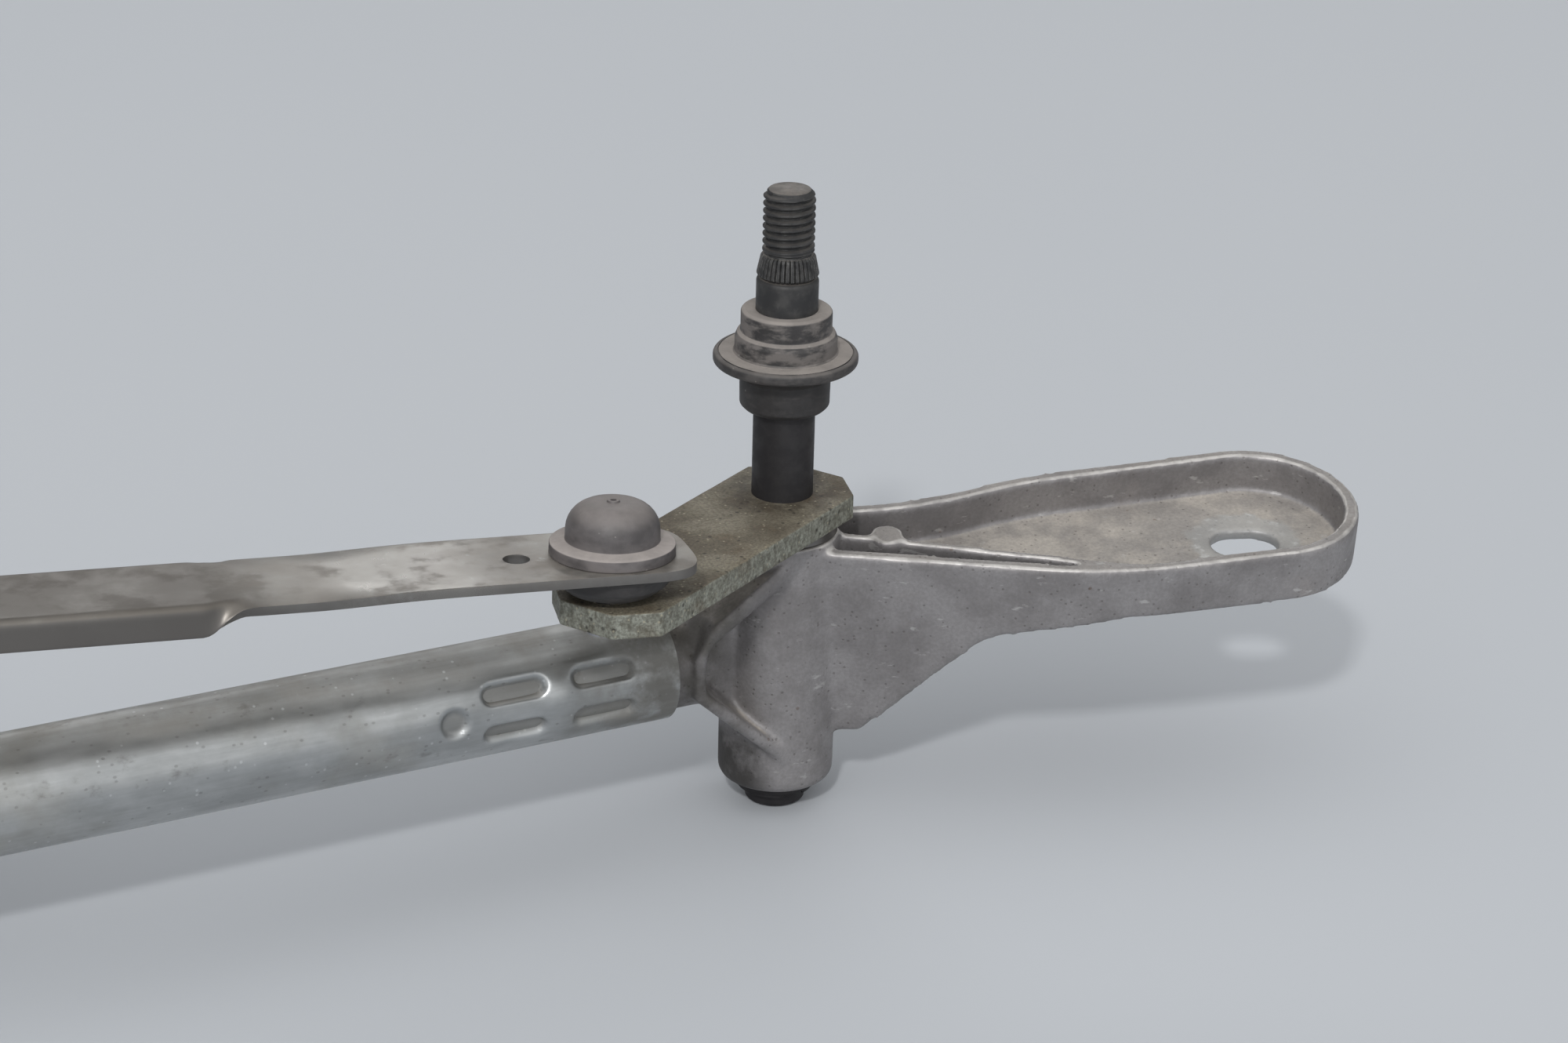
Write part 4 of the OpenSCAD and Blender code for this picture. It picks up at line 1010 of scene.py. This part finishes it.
# %% Threaded shafts
SHAFT_R = 6.0
THREAD_R = 5.0
THREAD_FROM = 50.0
THREAD_TO = 62.0
PITCH = 1.5
THREAD_DEPTH = 0.85
THREAD_CHAMFER = 1.0
FLANK_SLOPE = 1.45
ROOT_FLAT = 0.2
RUN_OUT = 0.8
RINGS_PER_PITCH = 14
THREAD_PLAY = 0.01
CORE_R = 1.0
SHAFT_STEPS = 96
TEETH = 38
TOOTH_DEPTH = 0.5
TOOTH_FROM_R = 4.8
STEPS_PER_TOOTH = 8
RING_GAP = (-63.2, -62.0)
RING_GROOVE_R = 5.0
SHAFT_END = -66.2
SHAFT_CORNERS = [(0, SHAFT_END, 0), (SHAFT_R, SHAFT_END, 0.8), (SHAFT_R, RING_GAP[0], 0),
                 (RING_GROOVE_R, RING_GAP[0], 0), (RING_GROOVE_R, RING_GAP[1], 0), (SHAFT_R, RING_GAP[1], 0),
                 (SHAFT_R, 44.5, 0.9), (5.3, 44.6, 0), (4.6, 45.0, 0), (4.6, 49.0, 0), (4.45, 49.6, 0)]
CONE_CORNERS = [(4.4, 45.0, 0), (5.7, 45.0, 0.2), (6.0, 45.35, 0.15), (5.3, 48.7, 0.2), (4.9, 49.2, 0.2),
                (4.4, 49.25, 0)]


def thread_radius(angle, height):
    """Radius of the threaded end at an angle and a height."""
    phase = (height / PITCH - angle / math.tau) % 1.0
    flank = min(1.0, max(0.0, FLANK_SLOPE * abs(2 * phase - 1) - ROOT_FLAT))
    run_out = smooth_step(THREAD_FROM, THREAD_FROM + RUN_OUT, height)
    radius = THREAD_R - THREAD_DEPTH * (1 - flank) * run_out
    lead_in = THREAD_R - max(0.0, height - (THREAD_TO - THREAD_CHAMFER))
    return min(radius, lead_in)


def shaft_bmesh():
    rings = int((THREAD_TO - THREAD_FROM) / PITCH * RINGS_PER_PITCH)
    thread = [(THREAD_R, THREAD_FROM + (THREAD_TO - THREAD_FROM) * k / rings, 0) for k in range(rings + 1)]
    bm = spun(rounded(SHAFT_CORNERS + thread + [(0, THREAD_TO, 0)], steps=4), SHAFT_STEPS)
    for vert in bm.verts:
        height = vert.co.z / MM
        reach = math.hypot(vert.co.x, vert.co.y) / MM
        if height > THREAD_FROM - THREAD_PLAY and reach > CORE_R:
            scale = thread_radius(math.atan2(vert.co.y, vert.co.x), height) / reach
            vert.co.x *= scale
            vert.co.y *= scale
    return bm


def serrated_cone_bmesh():
    bm = spun(rounded(CONE_CORNERS, closed=True, steps=3), TEETH * STEPS_PER_TOOTH, closed=True)
    for vert in bm.verts:
        reach = math.hypot(vert.co.x, vert.co.y)
        if reach > TOOTH_FROM_R * MM:
            phase = (math.atan2(vert.co.y, vert.co.x) / math.tau * TEETH) % 1.0
            cut = TOOTH_DEPTH * MM * max(0.0, 2 * abs(2 * phase - 1) - 1)
            vert.co.x *= 1 - cut / reach
            vert.co.y *= 1 - cut / reach
    return bm


for side in SIDES:
    at_shaft = Matrix.Translation(SHAFT_PLACE[side])
    bm = placed(joined(shaft_bmesh(), serrated_cone_bmesh()), at_shaft)
    shaft = new_object(side + "_threaded_shaft", bm)
    dress(shaft, SHAFT_STEEL, side + "_wiper", [side + "_shaft"], sharp=50)

# %% [markdown]
# ## Seals on the shafts
# The seal is one rubber moulding: a collar with a soft step, and a wide flange with a rounded rim that lies
# under the scuttle panel. A thin groove runs just inside the rim. Below it a black ring grips the shaft.

# %% Shaft seals
SEAL_STEPS = 128
GRIP_STEPS = 96
SEAL_PROFILE = [(6.02, 38.0, 0), (6.6, 38.1, 0.1), (8.0, 38.1, 0.2), (8.8, 37.7, 0.5), (8.8, 33.9, 0.4),
                (9.5, 33.3, 0.5), (9.85, 32.4, 0.4), (9.9, 29.9, 0.25), (10.2, 29.45, 0.2),
                (12.85, 29.45, 0.05), (12.95, 29.1, 0.05), (13.1, 29.4, 0.1), (14.0, 29.2, 0.8),
                (14.0, 27.3, 0.8), (13.0, 27.1, 0.3), (10.2, 26.5, 0.6), (9.3, 26.45, 0.2), (6.02, 26.45, 0)]
GRIP_PROFILE = [(6.02, 18.1, 0), (7.8, 18.0, 0.5), (8.7, 18.9, 0.7), (8.8, 24.6, 0.4), (8.3, 25.2, 0.3),
                (8.5, 26.3, 0.3), (6.02, 26.4, 0)]

for side in SIDES:
    at_shaft = Matrix.Translation(SHAFT_PLACE[side])
    bm = placed(spun(rounded(SEAL_PROFILE, True), SEAL_STEPS, True), at_shaft)
    seal = new_object(side + "_flanged_seal", bm)
    dress(seal, SEAL_RUBBER, side + "_wiper", [side + "_shaft_seal"])
    bm = placed(spun(rounded(GRIP_PROFILE, True), GRIP_STEPS, True), at_shaft)
    ring = new_object(side + "_grip_ring", bm)
    dress(ring, BOOT_RUBBER, side + "_wiper", [side + "_seal_ring"])

# %% [markdown]
# ## Levers
# A lever is stamped from thick plate, with its corners cut off. Stamping rolls the upper edge over and leaves
# the sides a little torn, so the octagon is extruded and beveled, cut finer, and its skin is disturbed by a
# very small noise.

# %% Stamped levers
LEVER_LEN = 58.0
LEVER_W = 24.7
LEVER_T = 5.0
LEVER_TAIL = 13.2
LEVER_NOSE = 8.2
LEVER_CHAMFER = 6.5
LEVER_EDGE = 0.35 * MM
LEVER_FINER = (8 * MM, 4 * MM, 2 * MM, 1.1 * MM)
TORN = 0.06 * MM
TORN_UPRIGHT = 0.35
TORN_SCALE = 420


def lever_bmesh(direction):
    nose = LEVER_LEN + LEVER_NOSE
    half = LEVER_W / 2
    cut = half - LEVER_CHAMFER
    tail = LEVER_CHAMFER - LEVER_TAIL
    outline = [(tail, -half), (nose - LEVER_CHAMFER, -half), (nose, -cut), (nose, cut),
               (nose - LEVER_CHAMFER, half), (tail, half), (-LEVER_TAIL, cut), (-LEVER_TAIL, -cut)]
    bm = bmesh.new()
    face = bm.faces.new([bm.verts.new((x * MM, y * MM, -LEVER_T * MM)) for x, y in outline])
    raised = bmesh.ops.extrude_face_region(bm, geom=[face])
    upper = [item for item in raised["geom"] if isinstance(item, bmesh.types.BMVert)]
    bmesh.ops.translate(bm, vec=(0, 0, LEVER_T * MM), verts=upper)
    bmesh.ops.recalc_face_normals(bm, faces=bm.faces)
    bmesh.ops.bevel(bm, geom=bm.edges[:], offset=LEVER_EDGE, affect="EDGES", segments=3, profile=0.5,
                    material=-1)
    bmesh.ops.triangulate(bm, faces=bm.faces)
    for limit in LEVER_FINER:
        long_edges = [edge for edge in bm.edges if edge.calc_length() > limit]
        bmesh.ops.subdivide_edges(bm, edges=long_edges, cuts=1)
        bmesh.ops.triangulate(bm, faces=bm.faces)
    for vert in bm.verts:
        torn = noise.noise_vector(vert.co * TORN_SCALE)
        vert.co += Vector((torn.x, torn.y, TORN_UPRIGHT * torn.z)) * TORN
    return placed(bm, Matrix.Rotation(direction, 4, "Z"))


for side in SIDES:
    to_ball = pivots[side + "_rod_turn"] - SHAFT_PLACE[side]
    bm = placed(lever_bmesh(math.atan2(to_ball.y, to_ball.x)), Matrix.Translation(SHAFT_PLACE[side]))
    lever = new_object(side + "_stamped_lever", bm)
    dress(lever, LEVER_ZINC, side + "_wiper", [side + "_lever"], sharp=30)

# %% [markdown]
# ## Drive rods
# A rod is pressed from strip. Its ends are flat and round, its edges start to roll down a little way in, and
# after a short step the strip is an upturned channel. A grid is bent into that form, section by section, and
# then gets the sheet's thickness. The gauge hole near each end is cut last.

# %% Places along the rods
ROLL_DEG = 4
ROLL = {"right": math.radians(ROLL_DEG), "left": math.radians(180 - ROLL_DEG)}
rod_frame = {}
rod_length = {}
for side in SIDES:
    start = ball_centre(side + "_ball_stud", side == "right")
    run = ball_centre(CRANK_STUD[side], side == "right") - start
    heading = Matrix.Rotation(math.atan2(run.y, run.x), 4, "Z")
    climb = Matrix.Rotation(-math.atan2(run.z, math.hypot(run.x, run.y)), 4, "Y")
    rod_frame[side] = Matrix.Translation(start) @ heading @ climb @ Matrix.Rotation(ROLL[side], 4, "X")
    rod_length[side] = run.length / MM
print("rod lengths in mm", rod_length)

# %% Pressed rods
ROD_T = 1.8
STRIP_TOP = -1.4
END_R = 12.5
END_EXTRA = 2.0
END_SQUARE = 3.6
CROWN_FROM = 22.0
CROWN_TO = 58.0
CROWN_R = 46.0
CROWN_ANGLE = math.radians(10.5)
STEP_FROM = 67.0
STEP_TO = 77.0
CHANNEL_R = 1.6
CHANNEL_ANGLE = math.radians(85)
CHANNEL_EDGE = 4.3
HOLE_POS = 18.0
HOLE_R = 2.5
HOLE_SEGMENTS = 32
DRILL_DEPTH = 10.0
DEBURR = 0.3
DEBURR_ANGLE = math.radians(50)

# %% Rings along a rod: close at the rounded end and at the step, wide along the channel
ACROSS = 64
CAP_RINGS = 14
CAP_SHARE = 0.9995
TIP_SHARE = 0.9999
END_RING = 2
END_RINGS = 33
STEP_RINGS_FROM = 63
STEP_RINGS = 20
MIDDLE_FROM = 83
MIDDLE_RINGS = 18


def rod_stations(length):
    cap = [-END_EXTRA - END_R * math.cos(math.pi / 2 * k / CAP_RINGS) * CAP_SHARE for k in range(CAP_RINGS)]
    near = [-END_EXTRA + END_RING * k for k in range(END_RINGS)]
    start = cap + near + [STEP_RINGS_FROM + k for k in range(STEP_RINGS)]
    run = length - 2 * MIDDLE_FROM
    middle = [MIDDLE_FROM + run * k / MIDDLE_RINGS for k in range(MIDDLE_RINGS + 1)]
    return start + middle + [length - x for x in reversed(start)]


def rod_section(x, length, share):
    """A point across the rod's upper face: y and height at a share of the half width from -1 to 1."""
    inward = min(x, length - x)
    half = END_R
    if inward < -END_EXTRA:
        past = min((-inward - END_EXTRA) / END_R, TIP_SHARE)
        half = END_R * (1 - past ** END_SQUARE) ** (1 / END_SQUARE)
    crown = smooth_step(CROWN_FROM, CROWN_TO, inward)
    step = smooth_step(STEP_FROM, STEP_TO, inward)
    bend = CROWN_ANGLE * crown * (1 - step) + CHANNEL_ANGLE * step
    radius = CROWN_R
    if bend > CROWN_ANGLE:
        radius = max(CHANNEL_R, CROWN_R * (1 - math.cos(CROWN_ANGLE)) / (1 - math.cos(bend)))
    edge = CHANNEL_EDGE * step
    flat = half - radius * math.sin(bend) - edge * math.cos(bend)
    run = abs(share) * (flat + radius * bend + edge)
    if run <= flat:
        return math.copysign(run, share), STRIP_TOP
    turned = min((run - flat) / radius, bend)
    rest = max(run - flat - radius * bend, 0.0)
    y = flat + radius * math.sin(turned) + rest * math.cos(bend)
    drop = radius * (1 - math.cos(turned)) + rest * math.sin(bend)
    return math.copysign(y, share), STRIP_TOP - drop


def pressed_rod(side):
    length = rod_length[side]
    stations = rod_stations(length)
    bm = bmesh.new()
    bmesh.ops.create_grid(bm, x_segments=len(stations) - 1, y_segments=ACROSS, size=1)
    for vert in bm.verts:
        x = stations[round((vert.co.x + 1) / 2 * (len(stations) - 1))]
        y, z = rod_section(x, length, vert.co.y)
        vert.co = Vector((x, y, z)) * MM
    bmesh.ops.recalc_face_normals(bm, faces=bm.faces)
    if sum(face.normal.z for face in bm.faces) < 0:
        bmesh.ops.reverse_faces(bm, faces=bm.faces)
    rod = new_object(side + "_pressed_rod", bm)
    sheet = rod.modifiers.new("sheet", "SOLIDIFY")
    sheet.thickness = ROD_T * MM
    sheet.offset = -1
    hole = bmesh.new()
    for x in (HOLE_POS, length - HOLE_POS):
        bmesh.ops.create_cone(hole, cap_ends=True, segments=HOLE_SEGMENTS, radius1=HOLE_R * MM,
                              radius2=HOLE_R * MM, depth=DRILL_DEPTH * MM,
                              matrix=Matrix.Translation((x * MM, 0, STRIP_TOP * MM)))
    drill = new_object("drill", hole)
    cut = rod.modifiers.new("gauge holes", "BOOLEAN")
    cut.object = drill
    cut.operation = "DIFFERENCE"
    edge = rod.modifiers.new("deburred", "BEVEL")
    edge.width = DEBURR * MM
    edge.segments = 2
    edge.limit_method = "ANGLE"
    edge.angle_limit = DEBURR_ANGLE
    apply_modifiers(rod)
    bpy.data.objects.remove(drill)
    rod.data.transform(rod_frame[side])
    return rod


for side in SIDES:
    dress(pressed_rod(side), ROD_ZINC, side + "_rod", [side + "_rod"], sharp=50)

# %% [markdown]
# ## Ball sockets and boots
# Each rod end carries a moulded socket: a flange on the strip and a dome over the ball, with the small mark
# that the mould's gate leaves on top. A soft boot closes the joint below the strip. Both are spun in the
# rod's own frame and then set at its two ends.

# %% Sockets and boots
CAVITY_R = 6.6
MOUTH = (5.25, -4.0)
CAVITY_RINGS = 16
SOCKET_STEPS = 112
BOOT_STEPS = 96
cavity = [(CAVITY_R * math.sin(a), CAVITY_R * math.cos(a), 0)
          for a in (math.acos(MOUTH[1] / CAVITY_R) * k / CAVITY_RINGS for k in range(CAVITY_RINGS))]
SOCKET_PROFILE = cavity + [MOUTH + (0,), (MOUTH[0], -4.9, 0.2), (7.6, -4.9, 0.3), (7.6, STRIP_TOP, 0),
                           (11.65, STRIP_TOP, 0.3), (11.6, 0.75, 0.3), (11.0, 0.95, 0.2), (8.75, 1.3, 0.2),
                           (8.6, 8.35, 5.2), (1.25, 8.37, 0.1), (1.05, 8.75, 0.15), (0.55, 8.75, 0.1),
                           (0.45, 8.15, 0.1), (0, 8.1, 0)]
BOOT_PROFILE = [(6.8, -8.3, 0.3), (8.3, -8.3, 0.3), (10.6, -6.4, 1.5), (11.0, -4.6, 0.8), (10.9, -3.2, 0.2),
                (7.9, -3.2, 0), (7.9, -4.0, 0), (9.5, -4.6, 0.4), (9.1, -6.4, 0.6), (6.8, -7.5, 0.2)]

for side in SIDES:
    for end, x in (("outer", 0.0), ("inner", rod_length[side] * MM)):
        at_end = rod_frame[side] @ Matrix.Translation((x, 0, 0))
        label = f"{side}_rod_{end}_"
        bm = placed(spun(rounded(SOCKET_PROFILE, steps=8), SOCKET_STEPS), at_end)
        socket = new_object(label + "ball_cap", bm)
        dress(socket, SOCKET_PLASTIC, side + "_rod", [label + "socket"])
        bm = placed(spun(rounded(BOOT_PROFILE, True), BOOT_STEPS, True), at_end)
        boot = new_object(label + "soft_boot", bm)
        dress(boot, BOOT_RUBBER, side + "_rod", [label + "boot"])

# %% [markdown]
# ## Motor bracket and crank
# The bracket is pressed sheet, so its copy is remeshed and softened like the castings, on a slightly coarser
# skin. The crank is a forged plate: a copy of the solid, with its flat faces cleaned up and its edges
# beveled.

# %% Bracket and crank
BRACKET_VOXEL = 0.65 * MM
BRACKET_SMOOTHING = 3
CRANK_EDGE = 0.6 * MM
FLAT_ANGLE = math.radians(1)
STEEP_ANGLE = math.radians(40)

bracket, bm = even_skin("pressed_bracket", node_copy("motor_bracket"), BRACKET_VOXEL)
smooth(bm, bm.verts, BRACKET_SMOOTHING)
bm.to_mesh(bracket.data)
bm.free()
dress(bracket, TUBE_ZINC, "frame", ["motor_bracket"], sharp=180)

bm = node_copy("motor_crank")
bmesh.ops.dissolve_limit(bm, angle_limit=FLAT_ANGLE, verts=bm.verts, edges=bm.edges)
steep = [edge for edge in bm.edges if edge.is_manifold and edge.calc_face_angle() > STEEP_ANGLE]
bmesh.ops.bevel(bm, geom=steep, offset=CRANK_EDGE, affect="EDGES", segments=3, profile=0.5, material=-1)
crank = new_object("forged_crank", bm)
dress(crank, LEVER_ZINC, "crank", ["motor_crank"], sharp=40)

# %% [markdown]
# ## Small turned parts
# Studs, bushes, washers and retaining rings are plain turned or stamped parts whose solids are already right.
# They keep the solid model's own meshes and only get their finishes.

# %% Finishes of the small parts
KEPT = {"bush": BRONZE, "stud": STUD_STEEL, "thrust_washer": ROD_ZINC, "lower_washer": SHAFT_STEEL,
        "retaining_ring": SHAFT_STEEL}
for name, node in frame["nodes"].items():
    for ending, finish in KEPT.items():
        if name.endswith(ending):
            node.data.materials.clear()
            node.data.materials.append(finish)
            print(name, "keeps its solid, in", finish.name)

# %% [markdown]
# ## Stage, light and camera
# The linkage stands on a plain pale table. A small lamp a little to the camera's left gives the clear shadow.
# A surround that is brightest above the camera and dim at the horizon fills the shadows, as in a light tent.
# A narrow bright window behind the linkage gives the upper faces of the rods their streak. The camera's place
# comes from a fit of known round sizes: a long lens a little above the table.

# %% Table
TABLE_COLOUR = srgb(196, 199, 203)
TABLE_HAZE = (190, 194, 199)
TABLE_SIZE = 12.0
TABLE_GAP = 0.2 * MM
table_mesh = bmesh.new()
bmesh.ops.create_grid(table_mesh, x_segments=1, y_segments=1, size=TABLE_SIZE / 2,
                      matrix=Matrix.Translation((0, 0, cad_box[0].z - TABLE_GAP)))
table = new_object("table", table_mesh)
surface, tree, shader, place = new_finish("table")
haze = use(tree, MOTTLING, place, Scale=3.0, Detail=2.0, Low=0.2, High=0.8)
coat(tree, shader, tint(tree, TABLE_COLOUR, haze, 0.25, TABLE_HAZE), 0.0, 0.8)
shader["Specular IOR Level"].default_value = 0.1
table.data.materials.append(surface)

# %% Light
AIM = SHAFT_PLACE["right"].copy()
KEY_AZIMUTH = math.radians(-37)
KEY_ELEVATION = math.radians(40)
KEY_DISTANCE = 3.2
KEY_SIZE = 0.2
KEY_POWER = 33.0


def direction_to(azimuth, elevation):
    """The direction from the right shaft to a lamp or a camera."""
    return Vector((math.sin(azimuth) * math.cos(elevation), -math.cos(azimuth) * math.cos(elevation),
                   math.sin(elevation)))


back = direction_to(KEY_AZIMUTH, KEY_ELEVATION)
key_data = bpy.data.lights.new("key", "AREA")
key_data.energy = KEY_POWER
key_data.size = KEY_SIZE
key = bpy.data.objects.new("key", key_data)
scene.collection.objects.link(key)
key.location = AIM + back * KEY_DISTANCE
key.rotation_euler = (-back).to_track_quat("-Z", "Y").to_euler()
print("key lamp at", tuple(key.location))

# %% Surround
SKY_COLOUR = (0.97, 0.985, 1.0, 1.0)
SKY_MIDDLE = Vector((-0.25, -0.6, 0.76))
SKY_REACH = (-0.2, 1.0)
SKY_LOW = 0.16
SKY_HIGH = 1.05
WINDOW = Vector((0.438, 0.824, 0.358))
WINDOW_REACH = (0.9, 0.97)
WINDOW_HALF_HEIGHT = (0.03, 0.1)
WINDOW_STRENGTH = 3.6

world = bpy.data.worlds.new("surround")
scene.world = world
world.use_nodes = True
sky = world.node_tree
direction = sky.nodes.new("ShaderNodeTexCoord").outputs["Generated"]
surround = sky.nodes["Background"].inputs
surround["Color"].default_value = SKY_COLOUR
toward_middle = vector_math(sky, "DOT_PRODUCT", direction, SKY_MIDDLE)["Value"]
overall = ramp(sky, toward_middle, *SKY_REACH, SKY_LOW, SKY_HIGH)
toward_window = vector_math(sky, "DOT_PRODUCT", direction, WINDOW)["Value"]
off_level = math_node(sky, "ABSOLUTE", math_node(sky, "SUBTRACT", height_of(sky, direction), WINDOW.z))
at_height = ramp(sky, off_level, *WINDOW_HALF_HEIGHT, 1.0, 0.0)
band = times(sky, at_height, ramp(sky, toward_window, *WINDOW_REACH))
feed(sky, surround["Strength"], math_node(sky, "ADD", overall, times(sky, band, WINDOW_STRENGTH)))
scene.view_settings.view_transform = "Standard"
print("surround nodes", len(sky.nodes))

# %% Camera
FOCAL_PX = 5000
IMAGE_W_PX = 2000
SENSOR_MM = 36.0
CAMERA_DISTANCE = 763.4 * MM
CAMERA_AZIMUTH = math.radians(-28.1)
CAMERA_ELEVATION = math.radians(23.13)
CAMERA_ROLL = math.radians(1.51)
CAMERA_PAN = math.radians(0.04)
CAMERA_TILT = math.radians(-0.44)
CLIP_START = 0.05

back = direction_to(CAMERA_AZIMUTH, CAMERA_ELEVATION)
right = Vector((math.cos(CAMERA_AZIMUTH), math.sin(CAMERA_AZIMUTH), 0))
up = back.cross(right)
forward = -back * math.cos(CAMERA_PAN) + right * math.sin(CAMERA_PAN)
forward = (forward * math.cos(CAMERA_TILT) + up * math.sin(CAMERA_TILT)).normalized()
level = forward.cross(up).normalized()
upright = level.cross(forward)
across = level * math.cos(CAMERA_ROLL) + upright * math.sin(CAMERA_ROLL)
above = upright * math.cos(CAMERA_ROLL) - level * math.sin(CAMERA_ROLL)
camera_data = bpy.data.cameras.new("camera")
camera_data.sensor_fit = "HORIZONTAL"
camera_data.sensor_width = SENSOR_MM
camera_data.lens = FOCAL_PX / IMAGE_W_PX * SENSOR_MM
camera_data.clip_start = CLIP_START
camera = bpy.data.objects.new("camera", camera_data)
scene.collection.objects.link(camera)
camera.matrix_world = Matrix.Translation(AIM + back * CAMERA_DISTANCE) @ Matrix(
    (across, above, -forward)).transposed().to_4x4()
scene.camera = camera
print("camera at", tuple(camera.matrix_world.translation))
